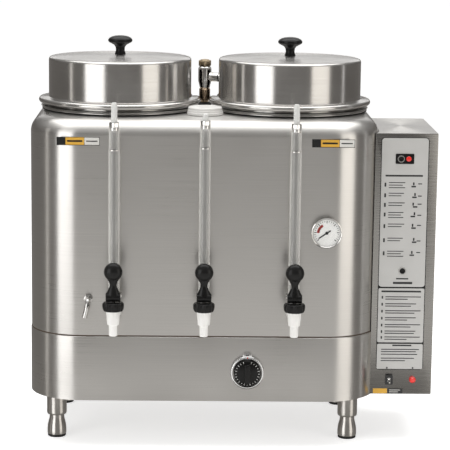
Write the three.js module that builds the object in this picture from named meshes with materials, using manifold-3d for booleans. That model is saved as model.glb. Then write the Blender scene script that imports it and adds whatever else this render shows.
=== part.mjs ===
// Twin automatic coffee urn: an oblong stainless body on four adjustable feet,
// two lidded coffee liners with brew baskets, a swivel spray arm between them,
// three sight-gauge faucets in front and a control box on the right side.
import * as THREE from 'three';
import { mergeVertices } from 'three/addons/utils/BufferGeometryUtils.js';
import Module from 'manifold-3d';

const wasm = await Module();
wasm.setup();

// Driving dimensions, in millimetres ------------------------------------------

const GAP = 0.3;                  // clearance between pieces that touch
const SHEET = 2;                  // stainless sheet of body, tank, lids and liners

// Sides of round pieces, and steps along the body's quarter-circle corners
const LARGE_SIDES = 28;
const SIDES = 14;
const SMALL_SIDES = 8;
const CORNER_STEPS = 4;
const SHOULDER_STEPS = 3;

// Body
const DECK_END = 4;               // liner to the flat deck's end
const DECK_MARGIN = 49;           // liner to the flat deck's front and back
const CORNER_RADIUS = 105;        // jacket corners, seen from above
const SHOULDER_RADIUS = 32;       // roll between the wall and the deck
const LEG_HEIGHT = 95;            // floor to base plate
const SKIRT_HEIGHT = 127.6;
const SKIRT_PROUD = 1.2;          // skirt stands out from the jacket
const SKIRT_FLANGE = 14;          // inward ledge that carries the jacket
const JACKET_HEIGHT = 421.4;      // skirt top to deck
const PLATE_THICKNESS = 3;

// Legs and feet
const LEG_INSET_X = 50;           // leg axis to the body's end
const LEG_INSET_Y = 85;           // leg axis to the body's front or back
const LEG_RADIUS = 19.6;
const LEG_BORE_CAP = 5;           // solid end above the foot's stem
const FOOT_RADIUS = 18.8;
const FOOT_STEM_RADIUS = 14.5;
const FOOT_FLARE_HEIGHT = 36;
const FOOT_EXPOSED_STEM = 9;      // foot's flare to the leg tube
const FOOT_CHAMFER = 2;

// Water tank and heating element
const TANK_CLEARANCE = 12;        // jacket to tank wall
const TANK_LIFT = 14;             // skirt top to tank floor
const TANK_FREEBOARD = 44;        // tank rim to deck
const HEATER_TUBE_RADIUS = 4;
const HEATER_SPREAD = 30;         // between the legs of the hairpin
const HEATER_HEIGHT = 230;
const HEATER_Y = 110;
const HEATER_FLANGE_RADIUS = 28;

// Coffee liners and brew baskets
const LINER_RADIUS = 134;
const LINER_LIFT = 15.4;          // tank floor to liner floor
const LINER_CORNER = 12;
const RIM_WIDTH = 22;
const RIM_HEIGHT = 5;
const RIM_CHAMFER = 1;
const BASKET_CLEARANCE = 2;       // liner wall to basket wall
const BASKET_DEPTH = 150;
const BASKET_CORNER = 4;
const BASKET_RIM_HEIGHT = 2.5;
const BASKET_RIM_LAP = 2;         // basket rim beyond the liner's rim
const BASKET_HOLE_RADIUS = 8;
const BASKET_HOLE_RINGS = [[0, 1], [60, 6]];

// Lids
const LID_OVERHANG = 8.5;         // lid wall outside the liner wall
const LID_SPACING = 15;           // between the two lids' flanges
const LID_HEIGHT = 94.6;          // basket rim to the edge of the lid's top
const LID_DOME = 4.5;             // rise of the top at its middle
const LID_EDGE = 5;
const LID_FLANGE_WIDTH = 20;
const LID_FLANGE_HEIGHT = 10.7;
const LID_FLANGE_LIFT = 4.4;      // flange above the basket rim
const NOTCH_SIDE = 11.6;          // arm's collar to the sides of the lid's slot
const NOTCH_OVER = 5.3;           // arm's collar to the top of the lid's slot
const KNOB_RADIUS = 24.4;
const KNOB_HEIGHT = 38;
const KNOB_NECK_RADIUS = 9;
const KNOB_FOOT_FLARE = 2;
const KNOB_FOOT_HEIGHT = 6;
const KNOB_THROAT = 14;           // height of the flare from neck to brim
const KNOB_BRIM_SHARE = 0.4;       // brim below the crown, as a share of the knob's radius
const KNOB_CROWN = 4;              // depth of the crown's round edge
const KNOB_CROWN_RISE = 1;
const KNOB_SCREW_RADIUS = 3;

// Spray post and swivel arm
const POST_CLEARANCE = 4.378;     // swivel body to the lids' flanges
const RISER_RADIUS = 8.2;
const RISER_COLLAR_RADIUS = 11.2;
const RISER_COLLAR_BASE = 12;     // deck to collar
const RISER_COLLAR_HEIGHT = 23.4;
const RISER_TAIL = 44;            // pipe below the deck
const SPINDLE_RADIUS = 6;
const SWIVEL_RADIUS = 13.4;
const SWIVEL_HEIGHT = 45;
const ARM_RISE = 23;              // swivel foot to arm axis
const ARM_RADIUS = 7;
const ARM_COLLAR_RADIUS = 9.4;
const ARM_COLLAR_LENGTH = 24;
const HEAD_RADIUS = 28;
const HEAD_HEIGHT = 9;
const HEAD_DROP = 24;             // arm axis to the head's underside
const CAP_NUT_FLATS = 24.4;
const CAP_NUT_HEIGHT = 13.7;

// Fill cap
const FILL_CLEARANCE = 2.34;      // cap to the lids' flanges
const FILL_CAP_RADIUS = 35.5;
const FILL_CAP_HEIGHT = 15.6;
const FILL_CAP_STEP = 0.8;
const FILL_CAP_EDGE = 1.5;
const FILL_PLUG_RADIUS = 26;
const FILL_PLUG_DEPTH = 14;

// Faucets, measured from the jacket's front
const STATION_OFFSET = 2.5;       // outer faucets beyond the liner axes
const GAUGE_REACH = 25;
const FAUCET_CLEARANCE = 4.5;     // tee to bonnet
const SHANK_RISE = 22;            // liner floor to shank axis
const SHANK_RADIUS = 9;
const SHANK_WALL = 4;
const SHANK_FLANGE_RADIUS = 15;
const SHANK_FLANGE_THICKNESS = 4;
const SHANK_INTO_BARREL = 4;      // shank's end inside the barrel's wall
const SHANK_PAST_WALL = 6;        // shank's end inside the liner or tank
const TEE_RADIUS = 9.5;
const TEE_HEX_FLATS = 31;
const TEE_HEX_HEIGHT = 8;
const TEE_CLEARANCE = 2.4;        // bonnet top to the tee's hexagon
const BARREL_RADIUS = 13.5;
const SOCKET_WALL = 2.6;
const SOCKET_LENGTH = 4.5;        // socket behind the barrel
const SOCKET_CLEARANCE = 1.4;     // socket to bonnet
const BARREL_TAPER = 2.1;         // barrel's radius at the spout below its radius on top
const SPOUT_STEP = 2.5;
const TIP_RADIUS = 8;
const TIP_LENGTH = 20;
const BARREL_DROP = 36;           // shank axis to the end of the tip
const BARREL_WALL = 3.5;
const CHAMBER_FLOOR = 4;          // spout step to the chamber
const OUTLET_RADIUS = 5.5;
const BONNET_WALL = 6;            // thread to the bonnet's outside
const BONNET_HEIGHT = 16.6;
const BONNET_ROOF = 4.4;
const BONNET_FOOT_SLOPE = 3;       // bonnet's foot inside its radius
const BONNET_FOOT_HEIGHT = 4;
const BONNET_CROWN = 5;            // widest part below the top
const BONNET_EDGE = 1.5;
const THREAD_PROUD = 1.5;         // thread beyond the barrel
const STEM_RADIUS = 3;
const STEM_LIFT = 3;
const SEAT_CUP_CLEARANCE = 1;     // cup to the chamber's wall
const SEAT_CUP_HEIGHT = 9;
const PIVOT_BARREL_RADIUS = 8.7;
const PIVOT_CLEARANCE = 0.6;      // bonnet top to the handle's pivot barrel
const HANDLE_WIDTH = 28;
const HANDLE_NECK_RADIUS = 6.7;
const HANDLE_NECK_RISE = 22;      // pivot to neck
const BALL_RADIUS = 17.8;
const BALL_DEPTH = 0.7;           // ball's thickness as a share of its width
const BALL_RISE = 49;             // pivot to ball centre
const THROAT_FLARE = 0.8;          // neck to the throat under the ball
const THROAT_RISE = 7;
const BALL_SEAT = 4;               // flare under the ball, and how far it reaches into it
const STEM_BLADE = 3;             // thickness of the blade on the stem
const STEM_BLADE_DEPTH = 6;
const STEM_BLADE_RISE = 5;        // pivot to the blade's top
const PIVOT_PIN_RADIUS = 1.5;

// Sight gauges
const GLASS_RADIUS = 6;
const GLASS_WALL = 2;
const GUARD_RADIUS = 10.75;
const GUARD_WALL = 1.6;
const GUARD_STEP = 0.85;          // collar inside the guard's radius
const GUARD_COLLAR_LENGTH = 42;
const GUARD_TAPER = 3;             // length of the step from guard to collar
const GAUGE_NUT_FLATS = 19;
const GAUGE_NUT_HEIGHT = 10;
const COFFEE_GAUGE_DROP = 11;     // deck to the nut of a coffee gauge
const WATER_GAUGE_DROP = 6;       // deck to the nut of the water gauge
const COFFEE_VENT_LENGTH = 37;
const WATER_VENT_LENGTH = 12;
const VENT_DRAFT = 0.4;
const VENT_TIP = 4;                // length of the vent's sloped tip
const VENT_TIP_SLOPE = 2.5;

// Thermometer and thermostat
const DIAL_OFFSET = 62.5;         // right of the right faucet
const DIAL_RISE = 208.4;          // above the skirt
const DIAL_RADIUS = 30;
const DIAL_DEPTH = 13;
const DIAL_EDGE = 2;               // depth of the case's sloped edge
const DIAL_EDGE_SLOPE = 1.5;
const DIAL_BACK_STEP = 6;          // case against the jacket, inside the dial's radius
const DIAL_BACK_DEPTH = 4;
const DIAL_RIM = 3.5;
const DIAL_FACE_DEPTH = 4.5;
const DIAL_STEM_RADIUS = 3.5;
const POINTER_CLEARANCE = 7.5;    // pointer's tip to the dial's rim
const POINTER_TAIL = 9;
const POINTER_WIDTH = 2;
const POINTER_THICKNESS = 1;
const POINTER_HUB_HEIGHT = 1.6;
const POINTER_ANGLE = 214;        // degrees, anticlockwise from the right
const THERMOSTAT_X = 86;
const THERMOSTAT_RISE = 59;       // above the base
const THERMOSTAT_BODY = 50;
const THERMOSTAT_BODY_DEPTH = 42;
const BEZEL_LAND = 5;             // width of the bezel's ring
const BEZEL_CLEARANCE = 1.5;      // knob to bezel
const BEZEL_HEIGHT = 9;
const BEZEL_CHAMFER = 3;           // height of the bezel's sloped edge
const BEZEL_SLOPE = 2;             // width of the bezel's sloped edge
const BEZEL_DISH = 1;              // inner edge below the outer one
const BEZEL_BOSS_RADIUS = 12;
const CONTROL_KNOB_RADIUS = 26.5;
const CONTROL_KNOB_DISC = 10;
const CONTROL_KNOB_TAPER = 1.5;
const GRIP_HEIGHT = 12;
const GRIP_WIDTH = 11;
const GRIP_INSET = 7;             // grip's ends inside the knob's rim
const CONTROL_SHAFT_RADIUS = 3;

// Small outlet spout
const OUTLET_OFFSET = 49.5;       // left of the left faucet
const OUTLET_RISE = 75.4;         // above the skirt
const OUTLET_TUBE_RADIUS = 5.4;
const OUTLET_TUBE_WALL = 1.4;
const OUTLET_REACH = 20;
const OUTLET_FALL = 34;
const OUTLET_LEAN = 6;
const OUTLET_NUT_FLATS = 15;
const OUTLET_NUT_HEIGHT = 8;

// Water inlet valve, on the back
const INLET_X = -120;
const INLET_RISE = 65;            // above the base
const INLET_RADIUS = 10;
const INLET_WALL = 3;
const INLET_REACH = 18;
const INLET_BODY = 46;

// Control box, on the right side
const BOX_REACH = 113.3;          // box beyond the body's side
const BOX_DEPTH = 255;
const BOX_SETBACK = 60;           // box front behind the jacket's front
const BOX_LIFT = 1;               // box floor above the base plate's underside
const BOX_DROP = 27.5;            // deck to the box's top
const BRIDGE = 40;                // box's cut-out reaches this far round the body
const WIRE_HOLE_RADIUS = 18;
const SWITCH_DROP = 49.5;         // box top to the switch plate's middle
const SWITCH_PLATE_X = 49;        // right of the body's side
const SWITCH_PLATE_WIDTH = 36;
const SWITCH_PLATE_HEIGHT = 20;
const SWITCH_PLATE_THICKNESS = 1.5;
const BREW_BUTTON_X = 41.7;
const BREW_BUTTON_RADIUS = 5;
const BREW_LAMP_X = 56.6;
const LAMP_RADIUS = 5;
const LAMP_SHOULDER = 1;          // lens beyond the hole it sits in
const LAMP_HEIGHT = 2.5;
const START_BUTTON_X = 50;
const START_BUTTON_RISE = 249;    // above the box's floor
const START_BUTTON_RADIUS = 5.5;
const TOGGLE_X = 29;
const TOGGLE_RISE = 29.5;         // above the box's floor
const TOGGLE_WIDTH = 15;
const TOGGLE_HEIGHT = 19;
const TOGGLE_LEVER_LENGTH = 15;
const TOGGLE_TILT = 15;           // degrees each side of level
const TOGGLE_BALL_RADIUS = 2.6;
const TOGGLE_LEVER_ROOT = 1.4;     // radius at the ball and at the very tip
const TOGGLE_LEVER_SWELL = 2.2;    // radius just below the tip
const TOGGLE_LEVER_TIP = 2;
const POWER_LAMP_X = 75.7;
const POWER_LAMP_RADIUS = 6.5;
const POWER_LAMP_HEIGHT = 7;
const POWER_LAMP_FLANGE = 1;       // rim round the lens
const POWER_LAMP_FLANGE_HEIGHT = 2;
const BUTTON_STAND = 4;           // how far the buttons stand out
const BUTTON_FLANGE = 2.5;        // retaining flange behind the cover

// Levels and places that follow from the sizes above ---------------------------

const RIM_RADIUS = LINER_RADIUS + RIM_WIDTH;
const LID_RADIUS = LINER_RADIUS + LID_OVERHANG;
const LID_FLANGE_RADIUS = LID_RADIUS + LID_FLANGE_WIDTH;
const URN_SPACING = 2 * LID_FLANGE_RADIUS + LID_SPACING;
const BODY_WIDTH = URN_SPACING + 2 * (LINER_RADIUS + DECK_END + SHOULDER_RADIUS);
const BODY_DEPTH = 2 * (LINER_RADIUS + DECK_MARGIN + SHOULDER_RADIUS);
const SKIRT_TOP = LEG_HEIGHT + SKIRT_HEIGHT;
const DECK_TOP = SKIRT_TOP + JACKET_HEIGHT;
const FRONT = -BODY_DEPTH / 2;
const SKIRT_FRONT = FRONT - SKIRT_PROUD;
const SIDE = BODY_WIDTH / 2;
const LEG_X = SIDE - LEG_INSET_X;
const LEG_Y = BODY_DEPTH / 2 - LEG_INSET_Y;
const LEG_BOTTOM = FOOT_FLARE_HEIGHT + FOOT_EXPOSED_STEM;
const RIM_TOP = DECK_TOP + GAP + RIM_HEIGHT;
const BASKET_RIM_TOP = RIM_TOP + GAP + BASKET_RIM_HEIGHT;
const LID_BASE = BASKET_RIM_TOP + GAP;
const LID_TOP = LID_BASE + LID_HEIGHT + LID_DOME;
const TANK_FLOOR = SKIRT_TOP + TANK_LIFT;
const TANK_TOP = DECK_TOP - TANK_FREEBOARD;
const TANK_INSET = SHEET + TANK_CLEARANCE;
const TANK_FRONT = FRONT + TANK_INSET;
const LINER_FLOOR = TANK_FLOOR + LINER_LIFT;
const POST_Y = beside(SWIVEL_RADIUS + POST_CLEARANCE);
const FILL_Y = -beside(FILL_CAP_RADIUS + FILL_CLEARANCE);
const COLLAR_BASE = DECK_TOP + RISER_COLLAR_BASE;
const SWIVEL_BASE = COLLAR_BASE + RISER_COLLAR_HEIGHT + GAP;
const SWIVEL_TOP = SWIVEL_BASE + SWIVEL_HEIGHT;
const ARM_Z = SWIVEL_BASE + ARM_RISE;
const ARM_REACH = Math.hypot(URN_SPACING / 2, POST_Y);
const ARM_YAW = Math.atan2(-POST_Y, URN_SPACING / 2);
const NOTCH_WIDTH = 2 * (ARM_COLLAR_RADIUS + NOTCH_SIDE);
const NOTCH_TOP = ARM_Z + ARM_COLLAR_RADIUS + NOTCH_OVER;
const STATION_SPACING = URN_SPACING / 2 + STATION_OFFSET;
const SHANK_HEIGHT = LINER_FLOOR + SHANK_RISE;
const SHANK_BORE = SHANK_RADIUS - SHANK_WALL;
const SPOUT_RADIUS = BARREL_RADIUS - BARREL_TAPER;
const CHAMBER_RADIUS = BARREL_RADIUS - BARREL_WALL;
const SEAT_CUP_RADIUS = CHAMBER_RADIUS - SEAT_CUP_CLEARANCE;
const THREAD_RADIUS = BARREL_RADIUS + THREAD_PROUD;
const BONNET_RADIUS = THREAD_RADIUS + BONNET_WALL;
const FAUCET_REACH = GAUGE_REACH + TEE_RADIUS + FAUCET_CLEARANCE + BONNET_RADIUS;
const BONNET_BASE = SHANK_HEIGHT + SHANK_RADIUS + SOCKET_WALL + SOCKET_CLEARANCE;
const BONNET_TOP = BONNET_BASE + BONNET_HEIGHT;
const PIVOT_Z = BONNET_TOP + PIVOT_CLEARANCE + PIVOT_BARREL_RADIUS;
const TEE_HEX_BASE = BONNET_TOP + TEE_CLEARANCE;
const GAUGE_SEAT = TEE_HEX_BASE + TEE_HEX_HEIGHT;
const GUARD_COLLAR_RADIUS = GUARD_RADIUS - GUARD_STEP;
const GLASS_BORE = GLASS_RADIUS - GLASS_WALL;
const DIAL_X = STATION_SPACING + DIAL_OFFSET;
const DIAL_Z = SKIRT_TOP + DIAL_RISE;
const DIAL_FACE_RADIUS = DIAL_RADIUS - DIAL_RIM;
const THERMOSTAT_Z = LEG_HEIGHT + THERMOSTAT_RISE;
const BEZEL_BORE = CONTROL_KNOB_RADIUS + BEZEL_CLEARANCE;
const OUTLET_X = -STATION_SPACING - OUTLET_OFFSET;
const OUTLET_Z = SKIRT_TOP + OUTLET_RISE;
const INLET_Z = LEG_HEIGHT + INLET_RISE;
const BOX_BASE = LEG_HEIGHT + BOX_LIFT;
const BOX_TOP = DECK_TOP - BOX_DROP;
const BOX_HEIGHT = BOX_TOP - BOX_BASE;
const SWITCH_Z = BOX_TOP - SWITCH_DROP;
const START_BUTTON_Z = BOX_BASE + START_BUTTON_RISE;
const TOGGLE_Z = BOX_BASE + TOGGLE_RISE;
const BOX_FRONT = FRONT + BOX_SETBACK;
const BOX_SIDE = SIDE + BOX_REACH;

// How far from the urns' line a piece between the lids has to stand, so that it
// is the given distance from both lids' flanges.
function beside(distance) {
  return Math.sqrt((LID_FLANGE_RADIUS + distance) ** 2 - (URN_SPACING / 2) ** 2);
}

// Finishes ----------------------------------------------------------------------

function finish(color, roughness, metalness) {
  return { color, roughness, metalness };
}

const STAINLESS = finish(0xb9b7b1, 0.38, 1);
const DARK_STAINLESS = finish(0x8f8b85, 0.42, 1);
const CHROME = finish(0xd8d8d6, 0.1, 1);
const BLACK_PLASTIC = finish(0x121212, 0.4, 0);
const WHITE_PLASTIC = finish(0xe9e9e4, 0.45, 0);
const CLEAR = finish(0xdfe6e3, 0.08, 0);
const RED_LENS = finish(0xb01010, 0.2, 0);
const DIAL_WHITE = finish(0xeeeeea, 0.5, 0);
const BRASS = finish(0xb08d4a, 0.35, 1);

// Solids --------------------------------------------------------------------------

// A closed manifold solid from a three.js geometry, its faces turned outward.
function solid(geometry) {
  const bare = new THREE.BufferGeometry();
  bare.setAttribute('position', geometry.getAttribute('position'));
  if (geometry.index) bare.setIndex(geometry.index);
  const merged = mergeVertices(bare, 1e-4);
  const points = merged.getAttribute('position').array;
  const corners = merged.index.array;
  const triangles = [];
  let volume = 0;
  for (let i = 0; i < corners.length; i += 3) {
    const [a, b, c] = corners.slice(i, i + 3);
    if (a === b || b === c || c === a) continue;
    triangles.push(a, b, c);
    const [p, q, r] = [a, b, c].map((k) => new THREE.Vector3().fromArray(points, 3 * k));
    volume += p.dot(q.cross(r));
  }
  if (volume < 0) triangles.reverse();
  return new wasm.Manifold(new wasm.Mesh({
    numProp: 3,
    vertProperties: Float32Array.from(points),
    triVerts: Uint32Array.from(triangles),
  }));
}

function join(first, ...others) {
  return others.reduce((whole, next) => whole.add(next), first);
}

function cut(first, ...tools) {
  return tools.reduce((whole, next) => whole.subtract(next), first);
}

// A named mesh with its own material.
function piece(name, shape, look) {
  const { numProp, vertProperties, triVerts } = shape.getMesh();
  const positions = new Float32Array((vertProperties.length / numProp) * 3);
  for (let i = 0; i < positions.length / 3; i += 1) {
    positions.set(vertProperties.subarray(i * numProp, i * numProp + 3), i * 3);
  }
  const geometry = new THREE.BufferGeometry();
  geometry.setAttribute('position', new THREE.BufferAttribute(positions, 3));
  geometry.setIndex([...triVerts]);
  geometry.computeVertexNormals();
  const mesh = new THREE.Mesh(geometry, new THREE.MeshStandardMaterial(look));
  mesh.name = name;
  return mesh;
}

function block(width, depth, height, x, y, z) {
  return solid(new THREE.BoxGeometry(width, depth, height).translate(x, y, z + height / 2));
}

// An upright round bar standing at height z.
function bar(radius, height, z, x = 0, y = 0, sides = SIDES) {
  const shape = new THREE.CylinderGeometry(radius, radius, height, sides);
  return solid(shape.rotateX(Math.PI / 2).translate(x, y, z + height / 2));
}

// A six-sided bar of the given width across flats.
function hexBar(flats, height, z) {
  const shape = new THREE.CylinderGeometry(flats / Math.sqrt(3), flats / Math.sqrt(3), height, 6);
  return solid(shape.rotateX(Math.PI / 2).translate(0, 0, z + height / 2));
}

// A round bar along Y, from y0 to y1.
function rod(radius, y0, y1, x, z, sides = SIDES) {
  const shape = new THREE.CylinderGeometry(radius, radius, y1 - y0, sides);
  return solid(shape.translate(x, (y0 + y1) / 2, z));
}

// A round bar along X, centred on x = 0.
function axle(radius, length, y, z, sides = SIDES) {
  const shape = new THREE.CylinderGeometry(radius, radius, length, sides);
  return solid(shape.rotateZ(Math.PI / 2).translate(0, y, z));
}

// A solid of revolution about Z from [radius, height] points. A profile that
// leaves the axis closes on its first point.
function turned(profile, segments = SIDES) {
  const points = profile.map(([r, z]) => new THREE.Vector2(r, z));
  const onAxis = profile[0][0] === 0 && profile[profile.length - 1][0] === 0;
  if (!onAxis) points.push(points[0].clone());
  return solid(new THREE.LatheGeometry(points, segments).rotateX(Math.PI / 2));
}

// Points of an arc in a turned profile, about (r, z), in degrees.
function arc(r, z, radius, from, to, steps = 4) {
  return Array.from({ length: steps + 1 }, (_, i) => {
    const angle = THREE.MathUtils.degToRad(from + ((to - from) * i) / steps);
    return [r + radius * Math.cos(angle), z + radius * Math.sin(angle)];
  });
}

function oblong(width, depth, radius) {
  const [w, d] = [width / 2 - radius, depth / 2 - radius];
  const shape = new THREE.Shape();
  shape.absarc(w, d, radius, 0, Math.PI / 2);
  shape.absarc(-w, d, radius, Math.PI / 2, Math.PI);
  shape.absarc(-w, -d, radius, Math.PI, 1.5 * Math.PI);
  shape.absarc(w, -d, radius, 1.5 * Math.PI, 2 * Math.PI);
  return shape;
}

// A slab with the body's plan, grown outward by the given amount.
function bodySlab(grow, z0, z1) {
  const outline = oblong(BODY_WIDTH + 2 * grow, BODY_DEPTH + 2 * grow, CORNER_RADIUS + grow);
  const options = { depth: z1 - z0, bevelEnabled: false, curveSegments: CORNER_STEPS };
  return solid(new THREE.ExtrudeGeometry(outline, options).translate(0, 0, z0));
}

// The body's plan again, rolled over at the top with a round shoulder.
function bodyDome(grow, z0, z1) {
  const roll = SHOULDER_RADIUS + grow;
  const inset = grow - roll;
  const outline = oblong(BODY_WIDTH + 2 * inset, BODY_DEPTH + 2 * inset, CORNER_RADIUS + inset);
  const options = {
    depth: z1 - z0,
    bevelThickness: roll,
    bevelSize: roll,
    bevelSegments: SHOULDER_STEPS,
    curveSegments: CORNER_STEPS,
  };
  const full = solid(new THREE.ExtrudeGeometry(outline, options).translate(0, 0, z0 - roll));
  const below = block(2 * BODY_WIDTH, 2 * BODY_DEPTH, 4 * roll, 0, 0, z0 - 4 * roll);
  return cut(full, below);
}

function plate(width, height, thickness, radius) {
  const options = { depth: thickness, bevelEnabled: false, curveSegments: 2 };
  return solid(new THREE.ExtrudeGeometry(oblong(width, height, radius), options));
}

// Turns a group so that its local Z faces the front of the machine.
function facingFront(x, y, z, ...meshes) {
  const group = new THREE.Group();
  group.position.set(x, y, z);
  group.rotation.x = Math.PI / 2;
  group.add(...meshes);
  return group;
}

function at(x, y, z, ...meshes) {
  const group = new THREE.Group();
  group.position.set(x, y, z);
  group.add(...meshes);
  return group;
}

// Body ----------------------------------------------------------------------------

function corners(x, y) {
  return [[-x, -y], [x, -y], [-x, y], [x, y]];
}

function baseFrame() {
  const floor = bodySlab(SKIRT_PROUD - SHEET - GAP, LEG_HEIGHT, LEG_HEIGHT + PLATE_THICKNESS);
  const sockets = corners(LEG_X, LEG_Y).map(([x, y]) => {
    const length = LEG_HEIGHT - LEG_BOTTOM;
    const tube = bar(LEG_RADIUS, length + PLATE_THICKNESS / 2, LEG_BOTTOM, x, y);
    const bore = bar(FOOT_STEM_RADIUS + GAP, length - LEG_BORE_CAP + 1, LEG_BOTTOM - 1, x, y);
    return cut(tube, bore);
  });
  return piece('base_frame', join(floor, ...sockets), STAINLESS);
}

function foot(name) {
  const stemTop = LEG_HEIGHT - LEG_BORE_CAP - GAP;
  const profile = [
    [0, 0],
    [FOOT_RADIUS - FOOT_CHAMFER, 0],
    [FOOT_RADIUS, FOOT_CHAMFER],
    [FOOT_RADIUS, FOOT_FLARE_HEIGHT / 4],
    [FOOT_STEM_RADIUS, FOOT_FLARE_HEIGHT],
    [FOOT_STEM_RADIUS, stemTop],
    [0, stemTop],
  ];
  return piece(name, turned(profile), STAINLESS);
}

function feet() {
  const names = ['foot_front_left', 'foot_front_right', 'foot_rear_left', 'foot_rear_right'];
  return corners(LEG_X, LEG_Y).map(([x, y], i) => at(x, y, 0, foot(names[i])));
}

function baseSkirt() {
  const shell = cut(
    bodySlab(SKIRT_PROUD, LEG_HEIGHT, SKIRT_TOP),
    bodySlab(SKIRT_PROUD - SHEET, LEG_HEIGHT - 1, SKIRT_TOP - SHEET),
    bodySlab(SKIRT_PROUD - SKIRT_FLANGE, SKIRT_TOP - SHEET - 1, SKIRT_TOP + 1),
  );
  const bezelHole = rod(
    BEZEL_BOSS_RADIUS + GAP, SKIRT_FRONT - 1, SKIRT_FRONT + 2 * SHEET, THERMOSTAT_X, THERMOSTAT_Z,
  );
  const back = -SKIRT_FRONT;
  const inletHole = rod(INLET_RADIUS + GAP, back - 2 * SHEET, back + 1, INLET_X, INLET_Z);
  return piece('base_skirt', cut(shell, bezelHole, inletHole), STAINLESS);
}

function stationPlaces() {
  return [-STATION_SPACING, 0, STATION_SPACING];
}

function jacketShell() {
  const bottom = SKIRT_TOP + GAP;
  const shell = cut(
    bodyDome(0, bottom, DECK_TOP),
    bodyDome(-SHEET, bottom - 1, DECK_TOP - SHEET),
    bodySlab(-SHOULDER_RADIUS, DECK_TOP - 3 * SHEET, DECK_TOP + 1),
  );
  const [outside, inside] = [FRONT - 1, FRONT + 2 * SHEET];
  const shanks = stationPlaces().map((x) => rod(SHANK_RADIUS + GAP, outside, inside, x, SHANK_HEIGHT));
  const dial = rod(DIAL_STEM_RADIUS + GAP, outside, inside, DIAL_X, DIAL_Z);
  const outlet = rod(OUTLET_TUBE_RADIUS + GAP, outside, inside, OUTLET_X, OUTLET_Z);
  const wires = axle(WIRE_HOLE_RADIUS, 4 * SHEET, 0, (BOX_BASE + BOX_TOP) / 2);
  return piece(
    'jacket_shell',
    cut(shell, ...shanks, dial, outlet, wires.translate([SIDE, 0, 0])),
    STAINLESS,
  );
}

function topDeck() {
  const [bottom, over] = [DECK_TOP - SHEET - 1, SHEET + 2];
  const linerHoles = [-1, 1].map((side) => (
    bar(LINER_RADIUS + GAP, over, bottom, (side * URN_SPACING) / 2, 0, LARGE_SIDES)
  ));
  const deck = cut(
    bodySlab(-SHOULDER_RADIUS - GAP, DECK_TOP - SHEET, DECK_TOP),
    ...linerHoles,
    bar(RISER_RADIUS + GAP, over, bottom, 0, POST_Y),
    bar(FILL_PLUG_RADIUS + GAP, over, bottom, 0, FILL_Y),
  );
  return piece('top_deck', deck, STAINLESS);
}

// Tank, liners and baskets -------------------------------------------------------------

function waterTank() {
  const tub = cut(
    bodySlab(-TANK_INSET, TANK_FLOOR, TANK_TOP),
    bodySlab(-TANK_INSET - SHEET, TANK_FLOOR + SHEET, TANK_TOP + 1),
  );
  const [outside, inside] = [TANK_FRONT - 1, TANK_FRONT + 2 * SHEET];
  const holes = [
    ...stationPlaces().map((x) => rod(SHANK_RADIUS + GAP, outside, inside, x, SHANK_HEIGHT)),
    rod(DIAL_STEM_RADIUS + GAP, outside, inside, DIAL_X, DIAL_Z),
    rod(OUTLET_TUBE_RADIUS + GAP, outside, inside, OUTLET_X, OUTLET_Z),
    ...[-1, 1].map((side) => bar(
      HEATER_TUBE_RADIUS + GAP, 3 * SHEET, TANK_FLOOR - SHEET, (side * HEATER_SPREAD) / 2, HEATER_Y,
    )),
  ];
  return piece('water_tank', cut(tub, ...holes), DARK_STAINLESS);
}

function heatingElement() {
  const bend = HEATER_SPREAD / 2;
  const tail = 2 * SHEET;
  const path = new THREE.CurvePath();
  const top = HEATER_HEIGHT - bend;
  const hairpin = Array.from({ length: 9 }, (_, i) => {
    const angle = Math.PI - (Math.PI * i) / 8;
    return new THREE.Vector3(bend * Math.cos(angle), 0, top + bend * Math.sin(angle));
  });
  path.add(new THREE.LineCurve3(new THREE.Vector3(-bend, 0, -tail), hairpin[0]));
  hairpin.slice(1).forEach((point, i) => path.add(new THREE.LineCurve3(hairpin[i], point)));
  path.add(new THREE.LineCurve3(hairpin[8], new THREE.Vector3(bend, 0, -tail)));
  const ring = new THREE.Shape().absarc(0, 0, HEATER_TUBE_RADIUS, 0, 2 * Math.PI);
  const tube = solid(new THREE.ExtrudeGeometry(ring, { extrudePath: path, steps: 16, curveSegments: 3 }));
  const flange = bar(HEATER_FLANGE_RADIUS, SHEET, SHEET + GAP);
  return at(0, HEATER_Y, TANK_FLOOR, piece('heating_element', join(tube, flange), BRASS));
}

function coffeeLiner(name) {
  const inner = LINER_RADIUS - SHEET;
  const rimBase = DECK_TOP + GAP;
  const profile = [
    [0, LINER_FLOOR],
    ...arc(LINER_RADIUS - LINER_CORNER, LINER_FLOOR + LINER_CORNER, LINER_CORNER, -90, 0, 2),
    [LINER_RADIUS, rimBase],
    [RIM_RADIUS - RIM_CHAMFER, rimBase],
    [RIM_RADIUS, rimBase + RIM_CHAMFER],
    [RIM_RADIUS, RIM_TOP - RIM_CHAMFER],
    [RIM_RADIUS - RIM_CHAMFER, RIM_TOP],
    [inner, RIM_TOP],
    ...arc(LINER_RADIUS - LINER_CORNER, LINER_FLOOR + LINER_CORNER, LINER_CORNER - SHEET, 0, -90, 2),
    [0, LINER_FLOOR + SHEET],
  ];
  return piece(name, turned(profile, LARGE_SIDES), STAINLESS);
}

// The liner with the hole its faucet shank comes in by.
function tappedLiner(name, side) {
  const liner = coffeeLiner(name);
  const offset = side * (STATION_SPACING - URN_SPACING / 2);
  const hole = rod(SHANK_RADIUS + GAP, -LINER_RADIUS - 1, -LINER_RADIUS / 2, offset, SHANK_HEIGHT);
  return piece(name, cut(solid(liner.geometry), hole), STAINLESS);
}

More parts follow.
